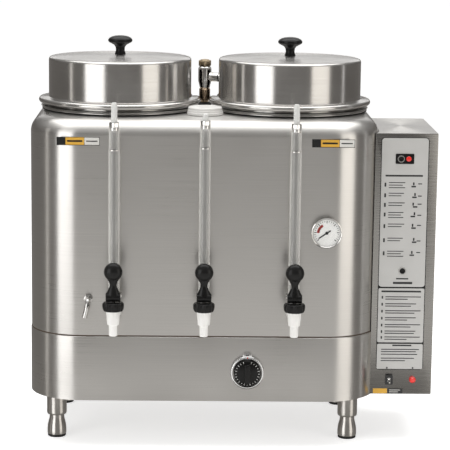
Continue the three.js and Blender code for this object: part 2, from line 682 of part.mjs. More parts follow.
function brewBasket(name) {
  const outer = LINER_RADIUS - SHEET - BASKET_CLEARANCE;
  const inner = outer - SHEET;
  const floor = BASKET_RIM_TOP - BASKET_DEPTH;
  const rimBase = RIM_TOP + GAP;
  const rim = RIM_RADIUS + BASKET_RIM_LAP;
  const profile = [
    [0, floor],
    [outer - BASKET_CORNER, floor],
    [outer, floor + BASKET_CORNER],
    [outer, rimBase],
    [rim - BASKET_RIM_LAP / 2, rimBase],
    [rim, rimBase + BASKET_RIM_HEIGHT / 2],
    [rim - BASKET_RIM_LAP / 2, BASKET_RIM_TOP],
    [inner, BASKET_RIM_TOP],
    [inner, floor + BASKET_CORNER + SHEET / 2],
    [inner - BASKET_CORNER + SHEET / 2, floor + SHEET],
    [0, floor + SHEET],
  ];
  const holes = BASKET_HOLE_RINGS.flatMap(([radius, count]) => (
    Array.from({ length: count }, (_, i) => {
      const angle = (2 * Math.PI * i) / count;
      const [x, y] = [radius * Math.cos(angle), radius * Math.sin(angle)];
      return bar(BASKET_HOLE_RADIUS, 2 * SHEET, floor - SHEET / 2, x, y, 6);
    })
  ));
  return piece(name, cut(turned(profile, LARGE_SIDES), ...holes), STAINLESS);
}

// Lids ------------------------------------------------------------------------------

function lid(name, side) {
  const wallTop = LID_BASE + LID_HEIGHT;
  const flangeBase = LID_BASE + LID_FLANGE_LIFT;
  const flangeTop = flangeBase + LID_FLANGE_HEIGHT;
  const bead = LID_FLANGE_HEIGHT / 2;
  const [beadR, beadZ] = [LID_FLANGE_RADIUS - bead, flangeBase + bead];
  const profile = [
    [0, LID_TOP],
    [LID_RADIUS - LID_EDGE, wallTop],
    ...arc(LID_RADIUS - LID_EDGE, wallTop - LID_EDGE, LID_EDGE, 60, 0, 2),
    [LID_RADIUS, flangeTop],
    ...arc(beadR, beadZ, bead, 90, -90, 3),
    ...arc(beadR, beadZ, bead - SHEET, -90, 90, 2),
    [LID_RADIUS, flangeTop - SHEET],
    [LID_RADIUS, LID_BASE],
    [LID_RADIUS - SHEET, LID_BASE],
    [LID_RADIUS - SHEET, wallTop - LID_EDGE],
    [LID_RADIUS - LID_EDGE, wallTop - SHEET],
    [0, LID_TOP - SHEET],
  ];
  const notch = block(
    2 * (LID_FLANGE_WIDTH + LID_EDGE), NOTCH_WIDTH, NOTCH_TOP - LID_BASE + 1,
    LID_RADIUS + LID_EDGE, 0, LID_BASE - 1,
  );
  const toPost = THREE.MathUtils.radToDeg(Math.atan2(POST_Y, (-side * URN_SPACING) / 2));
  const screw = bar(KNOB_SCREW_RADIUS + GAP, 4 * SHEET, LID_TOP - 3 * SHEET);
  return piece(name, cut(turned(profile, LARGE_SIDES), notch.rotate([0, 0, toPost]), screw), STAINLESS);
}

function lidKnob(name) {
  const base = LID_TOP + GAP;
  const top = LID_TOP + KNOB_HEIGHT;
  const brim = top - KNOB_RADIUS * KNOB_BRIM_SHARE;
  const profile = [
    [0, LID_TOP - 2 * SHEET],
    [KNOB_SCREW_RADIUS, LID_TOP - 2 * SHEET],
    [KNOB_SCREW_RADIUS, base],
    [KNOB_NECK_RADIUS + KNOB_FOOT_FLARE, base],
    [KNOB_NECK_RADIUS, base + KNOB_FOOT_HEIGHT],
    [KNOB_NECK_RADIUS, brim - KNOB_THROAT],
    [KNOB_RADIUS * 0.7, brim - KNOB_THROAT / 2],
    [KNOB_RADIUS, brim - KNOB_THROAT / 7],
    [KNOB_RADIUS, brim + KNOB_THROAT / 14],
    [KNOB_RADIUS * 0.85, top - KNOB_CROWN],
    [KNOB_RADIUS * 0.5, top - KNOB_CROWN_RISE],
    [0, top],
  ];
  return piece(name, turned(profile), BLACK_PLASTIC);
}

function urn(suffix, side) {
  return at(
    (side * URN_SPACING) / 2, 0, 0,
    tappedLiner(`coffee_liner_${suffix}`, side),
    brewBasket(`brew_basket_${suffix}`),
    lid(`lid_${suffix}`, side),
    lidKnob(`lid_knob_${suffix}`),
  );
}

// Spray post, swivel arm and fill cap -----------------------------------------------------

function sprayRiser() {
  const collarTop = COLLAR_BASE + RISER_COLLAR_HEIGHT;
  const profile = [
    [0, DECK_TOP - RISER_TAIL],
    [RISER_RADIUS, DECK_TOP - RISER_TAIL],
    [RISER_RADIUS, COLLAR_BASE],
    [RISER_COLLAR_RADIUS, COLLAR_BASE],
    [RISER_COLLAR_RADIUS, collarTop],
    [SPINDLE_RADIUS, collarTop],
    [SPINDLE_RADIUS, SWIVEL_TOP],
    [SPINDLE_RADIUS - 1, SWIVEL_TOP + GAP],
    [SPINDLE_RADIUS - 1, SWIVEL_TOP + CAP_NUT_HEIGHT / 2],
    [0, SWIVEL_TOP + CAP_NUT_HEIGHT / 2],
  ];
  const waterway = bar(SPINDLE_RADIUS / 2, RISER_TAIL + ARM_Z - DECK_TOP + 1, DECK_TOP - RISER_TAIL - 1);
  return piece('spray_riser', cut(turned(profile), waterway), CHROME);
}

// The arm lies along X here and is turned toward the right-hand liner below.
function swivelArm() {
  const arm = axle(ARM_RADIUS, ARM_REACH, 0, ARM_Z).translate([ARM_REACH / 2, 0, 0]);
  const start = SWIVEL_RADIUS / 2;
  const collar = axle(ARM_COLLAR_RADIUS, ARM_COLLAR_LENGTH, 0, ARM_Z);
  const elbow = bar(ARM_RADIUS, HEAD_DROP, ARM_Z - HEAD_DROP, ARM_REACH);
  const head = bar(HEAD_RADIUS, HEAD_HEIGHT, ARM_Z - HEAD_DROP, ARM_REACH);
  const shape = cut(
    join(
      bar(SWIVEL_RADIUS, SWIVEL_HEIGHT, SWIVEL_BASE),
      arm,
      collar.translate([start + ARM_COLLAR_LENGTH / 2, 0, 0]),
      elbow,
      head,
    ),
    bar(SPINDLE_RADIUS + GAP, SWIVEL_HEIGHT + 2, SWIVEL_BASE - 1),
  );
  const group = at(0, 0, 0, piece('swivel_arm', shape, CHROME));
  group.rotation.z = ARM_YAW;
  return group;
}

function riserCapNut() {
  const base = SWIVEL_TOP + GAP;
  const thread = bar(SPINDLE_RADIUS - 1 + GAP, CAP_NUT_HEIGHT / 2 + 1, base - 1);
  const nut = cut(hexBar(CAP_NUT_FLATS, CAP_NUT_HEIGHT, base), thread);
  return piece('riser_cap_nut', nut, CHROME);
}

function sprayPost() {
  return at(0, POST_Y, 0, sprayRiser(), swivelArm(), riserCapNut());
}

function fillCap() {
  const base = DECK_TOP + GAP;
  const top = base + FILL_CAP_HEIGHT;
  const profile = [
    [0, DECK_TOP - FILL_PLUG_DEPTH],
    [FILL_PLUG_RADIUS - FILL_CAP_EDGE, DECK_TOP - FILL_PLUG_DEPTH],
    [FILL_PLUG_RADIUS, DECK_TOP - FILL_PLUG_DEPTH + FILL_CAP_EDGE],
    [FILL_PLUG_RADIUS, base],
    [FILL_CAP_RADIUS, base],
    [FILL_CAP_RADIUS, top - FILL_CAP_HEIGHT / 3],
    [FILL_CAP_RADIUS - FILL_CAP_STEP, top - FILL_CAP_HEIGHT / 3],
    [FILL_CAP_RADIUS - FILL_CAP_STEP, top - FILL_CAP_EDGE],
    [FILL_CAP_RADIUS - FILL_CAP_STEP - FILL_CAP_EDGE, top],
    [0, top],
  ];
  return at(0, FILL_Y, 0, piece('fill_cap', turned(profile), WHITE_PLASTIC));
}

// Faucets: each is built on x = 0 with the jacket's front at y = 0 ----------------------------

function faucetShank(name, insideLength) {
  const tip = -FAUCET_REACH + BARREL_RADIUS - SHANK_INTO_BARREL;
  const teeHeight = GAUGE_SEAT - SHANK_HEIGHT;
  const shank = join(
    rod(SHANK_RADIUS, tip, insideLength, 0, SHANK_HEIGHT),
    rod(SHANK_FLANGE_RADIUS, -GAP - SHANK_FLANGE_THICKNESS, -GAP, 0, SHANK_HEIGHT),
    bar(TEE_RADIUS, teeHeight, SHANK_HEIGHT, 0, -GAUGE_REACH),
    hexBar(TEE_HEX_FLATS, TEE_HEX_HEIGHT, TEE_HEX_BASE).translate([0, -GAUGE_REACH, 0]),
  );
  return piece(name, cut(
    shank,
    rod(SHANK_BORE, tip - 1, insideLength + 1, 0, SHANK_HEIGHT),
    bar(GLASS_BORE, teeHeight, SHANK_HEIGHT, 0, -GAUGE_REACH),
    bar(GLASS_RADIUS + GAP, TEE_HEX_HEIGHT + 1, TEE_HEX_BASE, 0, -GAUGE_REACH),
  ), CHROME);
}

function faucetBody(name) {
  const bottom = SHANK_HEIGHT - BARREL_DROP;
  const spoutBase = bottom + TIP_LENGTH;
  const threadTop = BONNET_TOP - BONNET_ROOF - GAP;
  const profile = [
    [0, bottom],
    [TIP_RADIUS, bottom],
    [TIP_RADIUS, spoutBase],
    [SPOUT_RADIUS, spoutBase + SPOUT_STEP],
    [BARREL_RADIUS, BONNET_BASE - GAP],
    [THREAD_RADIUS, BONNET_BASE + GAP],
    [THREAD_RADIUS, threadTop],
    [0, threadTop],
  ];
  const socketBack = BARREL_RADIUS + SOCKET_LENGTH;
  const socketFloor = BARREL_RADIUS - SHANK_INTO_BARREL - GAP;
  const chamberFloor = spoutBase + CHAMBER_FLOOR;
  const whole = join(
    turned(profile),
    rod(SHANK_RADIUS + SOCKET_WALL, 0, socketBack, 0, SHANK_HEIGHT),
  );
  return piece(name, cut(
    whole,
    bar(OUTLET_RADIUS, BARREL_DROP, bottom - 1),
    bar(CHAMBER_RADIUS, threadTop - chamberFloor + 1, chamberFloor),
    rod(SHANK_RADIUS + GAP, socketFloor, socketBack + 1, 0, SHANK_HEIGHT),
    rod(SHANK_BORE, 0, socketFloor + 1, 0, SHANK_HEIGHT),
  ), WHITE_PLASTIC);
}

function faucetBonnet(name) {
  const roofBase = BONNET_TOP - BONNET_ROOF;
  const profile = [
    [THREAD_RADIUS + GAP, BONNET_BASE],
    [BONNET_RADIUS - BONNET_FOOT_SLOPE, BONNET_BASE],
    [BONNET_RADIUS - 1, BONNET_BASE + BONNET_FOOT_HEIGHT],
    [BONNET_RADIUS, BONNET_TOP - BONNET_CROWN],
    [BONNET_RADIUS, BONNET_TOP - BONNET_EDGE],
    [BONNET_RADIUS - BONNET_EDGE, BONNET_TOP],
    [STEM_RADIUS + 2 * GAP, BONNET_TOP],
    [STEM_RADIUS + 2 * GAP, roofBase],
    [THREAD_RADIUS + GAP, roofBase],
  ];
  return piece(name, turned(profile), BLACK_PLASTIC);
}

// Seat cup, rod and the blade that the handle's pin lifts.
function faucetStem(name) {
  const cupBase = SHANK_HEIGHT - BARREL_DROP + TIP_LENGTH + CHAMBER_FLOOR + GAP;
  const bladeBase = BONNET_TOP - STEM_LIFT;
  const bladeTop = PIVOT_Z + STEM_BLADE_RISE;
  const slotHalf = PIVOT_PIN_RADIUS + GAP;
  const slot = join(
    axle(slotHalf, 2 * STEM_BLADE, 0, PIVOT_Z, SMALL_SIDES),
    axle(slotHalf, 2 * STEM_BLADE, 0, PIVOT_Z - STEM_LIFT, SMALL_SIDES),
    block(2 * STEM_BLADE, 2 * slotHalf, STEM_LIFT, 0, 0, PIVOT_Z - STEM_LIFT),
  );
  const stem = join(
    bar(SEAT_CUP_RADIUS, SEAT_CUP_HEIGHT, cupBase, 0, 0, SMALL_SIDES),
    bar(STEM_RADIUS, bladeBase - cupBase, cupBase, 0, 0, SMALL_SIDES),
    block(STEM_BLADE, STEM_BLADE_DEPTH, bladeTop - bladeBase + 1, 0, 0, bladeBase - 1),
  );
  return piece(name, cut(stem, slot), STAINLESS);
}

// A ball-ended lever on a round pivot barrel, slotted for the stem's blade.
function faucetHandle(name) {
  const neck = HANDLE_NECK_RISE;
  const depthShare = (2 * PIVOT_BARREL_RADIUS) / HANDLE_WIDTH;
  const cone = new THREE.LatheGeometry([
    [0, 0],
    [HANDLE_WIDTH / 2, 0],
    [HANDLE_WIDTH * 0.4, neck * 0.45],
    [HANDLE_NECK_RADIUS, neck],
    [HANDLE_NECK_RADIUS + THROAT_FLARE, neck + THROAT_RISE],
    [HANDLE_NECK_RADIUS + BALL_SEAT, BALL_RISE - BALL_RADIUS + BALL_SEAT],
    [0, BALL_RISE - BALL_RADIUS + BALL_SEAT],
  ].map(([r, z]) => new THREE.Vector2(r, z)), SIDES);
  const ball = new THREE.SphereGeometry(BALL_RADIUS, SIDES, SMALL_SIDES).scale(1, BALL_DEPTH, 1);
  const bladeSlot = block(
    STEM_BLADE + 1, 2 * HANDLE_WIDTH, PIVOT_BARREL_RADIUS + 11, 0, 0, -PIVOT_BARREL_RADIUS - 1,
  );
  const lever = join(
    axle(PIVOT_BARREL_RADIUS, HANDLE_WIDTH, 0, 0),
    solid(cone.rotateX(Math.PI / 2).scale(1, depthShare, 1)),
    solid(ball.translate(0, 0, BALL_RISE)),
  );
  const pin = axle(PIVOT_PIN_RADIUS, 3 * STEM_BLADE, 0, 0, SMALL_SIDES);
  return at(0, 0, PIVOT_Z, piece(name, join(cut(lever, bladeSlot), pin), BLACK_PLASTIC));
}

// Sight gauges, standing on the shank's tee ------------------------------------------------

function gaugeGlass(name, length) {
  const base = TEE_HEX_BASE + GAP;
  const top = GAUGE_SEAT + GAP + length + GAUGE_NUT_HEIGHT / 2;
  const profile = [
    [GLASS_BORE, base],
    [GLASS_RADIUS, base],
    [GLASS_RADIUS, top],
    [GLASS_BORE, top],
  ];
  return piece(name, turned(profile, SMALL_SIDES), CLEAR);
}

function gaugeGuard(name, length) {
  const base = GAUGE_SEAT + GAP;
  const top = base + length;
  const shoulder = top - GUARD_COLLAR_LENGTH;
  const profile = [
    [GUARD_RADIUS - GUARD_WALL, base],
    [GUARD_RADIUS, base],
    [GUARD_RADIUS, shoulder - GUARD_TAPER],
    [GUARD_COLLAR_RADIUS, shoulder],
    [GUARD_COLLAR_RADIUS, top],
    [GUARD_COLLAR_RADIUS - GUARD_WALL, top],
    [GUARD_COLLAR_RADIUS - GUARD_WALL, shoulder],
    [GUARD_RADIUS - GUARD_WALL, shoulder - GUARD_TAPER],
  ];
  return piece(name, turned(profile), CLEAR);
}

// Hex nut with the soft vent tip that is moulded over its top.
function gaugeNut(name, length, ventLength) {
  const base = GAUGE_SEAT + 2 * GAP + length;
  const nutTop = base + GAUGE_NUT_HEIGHT;
  const ventTop = nutTop + ventLength;
  const vent = turned([
    [0, nutTop - 1],
    [GLASS_RADIUS, nutTop - 1],
    [GLASS_RADIUS - VENT_DRAFT, ventTop - VENT_TIP],
    [GLASS_RADIUS - VENT_TIP_SLOPE, ventTop - 1],
    [0, ventTop],
  ], SMALL_SIDES);
  const nut = join(hexBar(GAUGE_NUT_FLATS, GAUGE_NUT_HEIGHT, base), vent);
  const pocket = bar(GLASS_RADIUS + GAP, GAUGE_NUT_HEIGHT / 2 + GAP + 1, base - 1);
  return piece(name, cut(nut, pocket), CHROME);
}

function station(suffix, x, insideLength, gaugeLength, ventLength) {
  return at(
    x, FRONT, 0,
    faucetShank(`faucet_shank_${suffix}`, insideLength),
    at(
      0, -FAUCET_REACH, 0,
      faucetBody(`faucet_body_${suffix}`),
      faucetBonnet(`faucet_bonnet_${suffix}`),
      faucetStem(`faucet_stem_${suffix}`),
      faucetHandle(`faucet_handle_${suffix}`),
    ),
    at(
      0, -GAUGE_REACH, 0,
      gaugeGuard(`gauge_guard_${suffix}`, gaugeLength),
      gaugeGlass(`gauge_glass_${suffix}`, gaugeLength),
      gaugeNut(`gauge_nut_${suffix}`, gaugeLength, ventLength),
    ),
  );
}

function stations() {
  const toLiner = BODY_DEPTH / 2 - LINER_RADIUS + SHANK_PAST_WALL;
  const toTank = TANK_INSET + SHANK_PAST_WALL;
  const coffeeGauge = DECK_TOP - COFFEE_GAUGE_DROP - GAUGE_SEAT;
  const waterGauge = DECK_TOP - WATER_GAUGE_DROP - GAUGE_SEAT;
  return [
    station('left', -STATION_SPACING, toLiner, coffeeGauge, COFFEE_VENT_LENGTH),
    station('center', 0, toTank, waterGauge, WATER_VENT_LENGTH),
    station('right', STATION_SPACING, toLiner, coffeeGauge, COFFEE_VENT_LENGTH),
  ];
}

// Thermometer, thermostat, outlet spout and inlet valve: local Z faces the front -----------------

function thermometer() {
  const face = DIAL_DEPTH - DIAL_FACE_DEPTH;
  const profile = [
    [0, -TANK_INSET - 4 * SHEET],
    [DIAL_STEM_RADIUS, -TANK_INSET - 4 * SHEET],
    [DIAL_STEM_RADIUS, GAP],
    [DIAL_RADIUS - DIAL_BACK_STEP, GAP],
    [DIAL_RADIUS, DIAL_BACK_DEPTH],
    [DIAL_RADIUS, DIAL_DEPTH - DIAL_EDGE],
    [DIAL_RADIUS - DIAL_EDGE_SLOPE, DIAL_DEPTH],
    [DIAL_FACE_RADIUS, DIAL_DEPTH],
    [DIAL_FACE_RADIUS, face],
    [0, face],
  ];
  const reach = DIAL_FACE_RADIUS - POINTER_CLEARANCE;
  const needle = join(
    block(reach, POINTER_WIDTH, POINTER_THICKNESS, reach / 2, 0, face + GAP),
    block(POINTER_TAIL, POINTER_WIDTH, POINTER_THICKNESS, -POINTER_TAIL / 2, 0, face + GAP),
    bar(POINTER_WIDTH, POINTER_HUB_HEIGHT, face + GAP, 0, 0, SMALL_SIDES),
    bar(1.5 * POINTER_WIDTH, POINTER_THICKNESS, face + GAP, -POINTER_TAIL, 0, SMALL_SIDES),
  );
  const pointer = at(0, 0, 0, piece('thermometer_pointer', needle, BLACK_PLASTIC));
  pointer.rotation.z = THREE.MathUtils.degToRad(POINTER_ANGLE);
  const dial = piece('thermometer_case', turned(profile), DIAL_WHITE);
  return facingFront(DIAL_X, FRONT, DIAL_Z, dial, pointer);
}

function thermostat() {
  const discBase = SHEET + GAP;
  const knobBase = discBase + GAP;
  const shaftTop = knobBase + CONTROL_KNOB_DISC;
  const bezel = turned([
    [0, GAP],
    [BEZEL_BORE + BEZEL_LAND, GAP],
    [BEZEL_BORE + BEZEL_LAND, BEZEL_HEIGHT - BEZEL_CHAMFER],
    [BEZEL_BORE + BEZEL_LAND - BEZEL_SLOPE, BEZEL_HEIGHT],
    [BEZEL_BORE, BEZEL_HEIGHT - BEZEL_DISH],
    [BEZEL_BORE, discBase],
    [0, discBase],
  ]);
  const bodyTop = -SHEET - GAP;
  const body = join(
    bezel,
    bar(BEZEL_BOSS_RADIUS, -bodyTop + 2 * GAP, bodyTop),
    block(THERMOSTAT_BODY, THERMOSTAT_BODY, THERMOSTAT_BODY_DEPTH, 0, 0, bodyTop - THERMOSTAT_BODY_DEPTH),
    bar(CONTROL_SHAFT_RADIUS, shaftTop, 0),
  );
  const dial = turned([
    [0, knobBase],
    [CONTROL_KNOB_RADIUS, knobBase],
    [CONTROL_KNOB_RADIUS - CONTROL_KNOB_TAPER, knobBase + CONTROL_KNOB_DISC],
    [0, knobBase + CONTROL_KNOB_DISC],
  ]);
  const gripLength = 2 * (CONTROL_KNOB_RADIUS - GRIP_INSET);
  const grip = plate(gripLength, GRIP_WIDTH, GRIP_HEIGHT + 1, GRIP_WIDTH / 2 - 0.5);
  const shaftHole = bar(CONTROL_SHAFT_RADIUS + GAP, CONTROL_KNOB_DISC + 2, knobBase - 1);
  const knob = cut(
    join(dial, grip.rotate([0, 0, 90]).translate([0, 0, knobBase + CONTROL_KNOB_DISC - 1])),
    shaftHole,
  );
  return facingFront(
    THERMOSTAT_X, SKIRT_FRONT, THERMOSTAT_Z,
    piece('thermostat_body', body, CHROME),
    piece('thermostat_knob', knob, BLACK_PLASTIC),
  );
}

function outletSpout() {
  const bendSteps = 4;
  const bend = Array.from({ length: bendSteps + 1 }, (_, i) => {
    const angle = ((Math.PI / 2) * i) / bendSteps;
    const drop = OUTLET_REACH * (Math.cos(angle) - 1);
    return new THREE.Vector3(0, drop, OUTLET_REACH * Math.sin(angle));
  });
  const inside = new THREE.Vector3(0, 0, -TANK_INSET - 2 * SHEET);
  const tip = new THREE.Vector3(-OUTLET_LEAN, -OUTLET_FALL, OUTLET_REACH);
  const route = [inside, ...bend, tip];
  const path = new THREE.CurvePath();
  route.slice(1).forEach((point, i) => path.add(new THREE.LineCurve3(route[i], point)));
  const section = new THREE.Shape().absarc(0, 0, OUTLET_TUBE_RADIUS, 0, 2 * Math.PI);
  const bore = OUTLET_TUBE_RADIUS - OUTLET_TUBE_WALL;
  section.holes.push(new THREE.Path().absarc(0, 0, bore, 0, 2 * Math.PI, true));
  const options = { extrudePath: path, steps: 10, curveSegments: 3 };
  const tube = solid(new THREE.ExtrudeGeometry(section, options));
  const nut = cut(
    hexBar(OUTLET_NUT_FLATS, OUTLET_NUT_HEIGHT, GAP),
    bar(OUTLET_TUBE_RADIUS - OUTLET_TUBE_WALL / 2, OUTLET_NUT_HEIGHT + 2, -1),
  );
  return facingFront(OUTLET_X, FRONT, OUTLET_Z, piece('outlet_spout', join(tube, nut), CHROME));
}

function inletValve() {
  const wall = -SKIRT_FRONT;
  const inner = wall - SHEET - GAP;
  const valve = cut(
    join(
      rod(INLET_RADIUS, inner - 1, wall + INLET_REACH, 0, 0),
      block(INLET_BODY, INLET_BODY, INLET_BODY, 0, inner - INLET_BODY / 2, -INLET_BODY / 2),
    ),
    rod(INLET_RADIUS - INLET_WALL, wall, wall + INLET_REACH + 1, 0, 0),
  );
  return at(INLET_X, 0, INLET_Z, piece('inlet_valve', valve, BRASS));
}

// Control box -----------------------------------------------------------------------

// The body's outside with working clearance, which the box is cut round.
function bodyEnvelope() {
  return bodySlab(SKIRT_PROUD + GAP, BOX_BASE - 1, BOX_TOP + 1);
}

function controlCase() {
  const [left, front] = [SIDE - BRIDGE, BOX_FRONT + SHEET + GAP];
  const [width, depth] = [BOX_SIDE - left, BOX_DEPTH - SHEET - GAP];
  const [midX, midY] = [left + width / 2, front + depth / 2];
  const shell = cut(
    block(width, depth, BOX_HEIGHT, midX, midY, BOX_BASE),
    block(width, depth, BOX_HEIGHT - 2 * SHEET, midX - SHEET, midY - SHEET, BOX_BASE + SHEET),
    bodyEnvelope(),
  );
  return piece('control_case', shell, STAINLESS);
}

function controlCover() {
  const left = SIDE - BRIDGE;
  const cover = cut(
    block(BOX_SIDE - left, SHEET, BOX_HEIGHT, (left + BOX_SIDE) / 2, BOX_FRONT + SHEET / 2, BOX_BASE),
    bodyEnvelope(),
  );
  const [outside, inside] = [BOX_FRONT - 1, BOX_FRONT + SHEET + 1];
  const hole = (radius, x, z) => rod(radius, outside, inside, SIDE + x, z);
  return piece('control_cover', cut(
    cover,
    hole(BREW_BUTTON_RADIUS + GAP, BREW_BUTTON_X, SWITCH_Z),
    hole(LAMP_RADIUS - LAMP_SHOULDER + GAP, BREW_LAMP_X, SWITCH_Z),
    hole(START_BUTTON_RADIUS + GAP, START_BUTTON_X, START_BUTTON_Z),
    hole(TOGGLE_WIDTH / 3 + GAP, TOGGLE_X, TOGGLE_Z),
    hole(POWER_LAMP_RADIUS - LAMP_SHOULDER + GAP, POWER_LAMP_X, TOGGLE_Z),
  ), STAINLESS);
}

// Black switch plate with its red brew lamp; the brew button passes through it.
function switchPlate() {
  const lampX = BREW_LAMP_X - SWITCH_PLATE_X;
  const buttonX = BREW_BUTTON_X - SWITCH_PLATE_X;
  const shape = cut(
    join(
      plate(SWITCH_PLATE_WIDTH, SWITCH_PLATE_HEIGHT, SWITCH_PLATE_THICKNESS, 2).translate([0, 0, GAP]),
      bar(LAMP_RADIUS, LAMP_HEIGHT, SWITCH_PLATE_THICKNESS, lampX),
      bar(LAMP_RADIUS - LAMP_SHOULDER, 3 * SHEET, GAP + 1 - 3 * SHEET, lampX),
    ),
    bar(BREW_BUTTON_RADIUS + GAP, SWITCH_PLATE_THICKNESS + 2, -1, buttonX),
  );
  return facingFront(
    SIDE + SWITCH_PLATE_X, BOX_FRONT, SWITCH_Z, piece('brew_switch_plate', shape, RED_LENS),
  );
}

// A push button with a flange behind the cover; it has room to travel inward.
function pushButton(name, radius, stand, x, z) {
  const behind = -SHEET - GAP;
  const shape = join(
    bar(radius, stand - behind, behind),
    bar(radius + BUTTON_FLANGE, BUTTON_FLANGE, behind - BUTTON_FLANGE),
  );
  return facingFront(SIDE + x, BOX_FRONT, z, piece(name, shape, BLACK_PLASTIC));
}

function toggleSwitch() {
  const ball = TOGGLE_BALL_RADIUS;
  const lift = ball + GAP;
  const neck = TOGGLE_WIDTH / 3;
  const body = cut(
    join(
      plate(TOGGLE_WIDTH, TOGGLE_HEIGHT, 2 * SHEET, 2).translate([0, 0, GAP]),
      bar(neck, 5 * SHEET, GAP + 1 - 5 * SHEET),
    ),
    solid(new THREE.SphereGeometry(ball + 2 * GAP, SMALL_SIDES, 8).translate(0, 0, lift)),
    block(2 * ball + 2 * GAP, TOGGLE_HEIGHT / 2, 3 * SHEET, 0, 0, lift),
  );
  const lever = join(
    solid(new THREE.SphereGeometry(ball, SMALL_SIDES, 8)),
    turned([
      [0, 0],
      [TOGGLE_LEVER_ROOT, 0],
      [TOGGLE_LEVER_SWELL, TOGGLE_LEVER_LENGTH - TOGGLE_LEVER_TIP],
      [TOGGLE_LEVER_ROOT, TOGGLE_LEVER_LENGTH],
      [0, TOGGLE_LEVER_LENGTH],
    ], SMALL_SIDES),
  );
  const arm = at(0, 0, lift, piece('toggle_lever', lever, CHROME));
  arm.rotation.x = THREE.MathUtils.degToRad(TOGGLE_TILT);
  return facingFront(
    SIDE + TOGGLE_X, BOX_FRONT, TOGGLE_Z, piece('toggle_body', body, BLACK_PLASTIC), arm,
  );
}

function powerLamp() {
  const shape = join(
    turned([
      [0, GAP],
      [POWER_LAMP_RADIUS + POWER_LAMP_FLANGE, GAP],
      [POWER_LAMP_RADIUS + POWER_LAMP_FLANGE, POWER_LAMP_FLANGE_HEIGHT],
      [POWER_LAMP_RADIUS, POWER_LAMP_FLANGE_HEIGHT + POWER_LAMP_FLANGE / 2],
      [POWER_LAMP_RADIUS * 0.8, POWER_LAMP_HEIGHT - 2],
      [POWER_LAMP_RADIUS * 0.4, POWER_LAMP_HEIGHT - 0.5],
      [0, POWER_LAMP_HEIGHT],
    ]),
    bar(POWER_LAMP_RADIUS - LAMP_SHOULDER, 5 * SHEET, GAP + 1 - 5 * SHEET),
  );
  return facingFront(
    SIDE + POWER_LAMP_X, BOX_FRONT, TOGGLE_Z, piece('power_lamp', shape, RED_LENS),
  );
}

// The machine, with its origin on the floor under the middle of its bounding box -----------------

function machine() {
  const left = -SIDE - SKIRT_PROUD;
  const front = FRONT - FAUCET_REACH - BONNET_RADIUS;
  const back = -SKIRT_FRONT + INLET_REACH;
  const plateStand = GAP + SWITCH_PLATE_THICKNESS + BUTTON_STAND;
  const group = at(
    -(left + BOX_SIDE) / 2, -(front + back) / 2, 0,
    baseFrame(), ...feet(), baseSkirt(), jacketShell(), topDeck(),
    waterTank(), heatingElement(), urn('left', -1), urn('right', 1),
    sprayPost(), fillCap(), ...stations(),
    thermometer(), thermostat(), outletSpout(), inletValve(),
    controlCase(), controlCover(), switchPlate(),
    pushButton('brew_button', BREW_BUTTON_RADIUS, plateStand, BREW_BUTTON_X, SWITCH_Z),
    pushButton('start_button', START_BUTTON_RADIUS, BUTTON_STAND, START_BUTTON_X, START_BUTTON_Z),
    toggleSwitch(), powerLamp(),
  );
  const root = new THREE.Group();
  root.add(group);
  return root;
}

export default machine();
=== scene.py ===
from math import atan2, cos, pi, radians, sin

import bmesh
import bpy
from mathutils import Matrix, Vector


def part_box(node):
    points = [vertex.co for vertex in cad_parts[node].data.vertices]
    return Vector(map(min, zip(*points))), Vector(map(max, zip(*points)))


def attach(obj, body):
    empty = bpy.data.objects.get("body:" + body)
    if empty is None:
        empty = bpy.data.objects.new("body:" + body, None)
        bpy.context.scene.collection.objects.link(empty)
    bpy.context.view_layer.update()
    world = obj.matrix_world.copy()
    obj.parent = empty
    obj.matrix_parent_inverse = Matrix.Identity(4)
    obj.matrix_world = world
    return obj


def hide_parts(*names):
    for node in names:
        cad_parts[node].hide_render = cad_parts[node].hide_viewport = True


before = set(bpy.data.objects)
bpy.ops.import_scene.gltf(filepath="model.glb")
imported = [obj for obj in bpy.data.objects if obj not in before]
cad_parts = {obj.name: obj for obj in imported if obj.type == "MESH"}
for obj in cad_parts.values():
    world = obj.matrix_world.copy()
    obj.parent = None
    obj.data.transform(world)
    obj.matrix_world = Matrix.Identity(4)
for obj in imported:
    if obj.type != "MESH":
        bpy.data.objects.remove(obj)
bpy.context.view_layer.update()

# Camera: a long lens a little above the lids looks down on the front, turned
# very slightly to the right and leaning a little.
SENSOR_WIDTH, LENS_LENGTH = 36.0, 154.24
CAMERA_PLACE = (-0.0851, -3.8322, 1.0773)
CAMERA_YAW, CAMERA_PITCH, CAMERA_ROLL = 0.0188, 0.1719, 0.0117
camera_data = bpy.data.cameras.new("camera")
camera_data.sensor_width = SENSOR_WIDTH
camera_data.lens = LENS_LENGTH
camera = bpy.data.objects.new("camera", camera_data)
bpy.context.collection.objects.link(camera)
bpy.context.scene.camera = camera
level = Vector((sin(CAMERA_YAW), cos(CAMERA_YAW), 0))
across = Vector((cos(CAMERA_YAW), -sin(CAMERA_YAW), 0))
sight = level * cos(CAMERA_PITCH) - Vector((0, 0, sin(CAMERA_PITCH)))
upward = Vector((0, 0, cos(CAMERA_PITCH))) + level * sin(CAMERA_PITCH)
camera_right = across * cos(CAMERA_ROLL) + upward * sin(CAMERA_ROLL)
camera_up = upward * cos(CAMERA_ROLL) - across * sin(CAMERA_ROLL)
turn = Matrix((camera_right, camera_up, -sight)).transposed().to_4x4()
camera.matrix_world = Matrix.Translation(CAMERA_PLACE) @ turn

# Floor: a pale seamless sheet that runs far back behind the machine and ends a
# little in front of it. The steel doesn't mirror it.


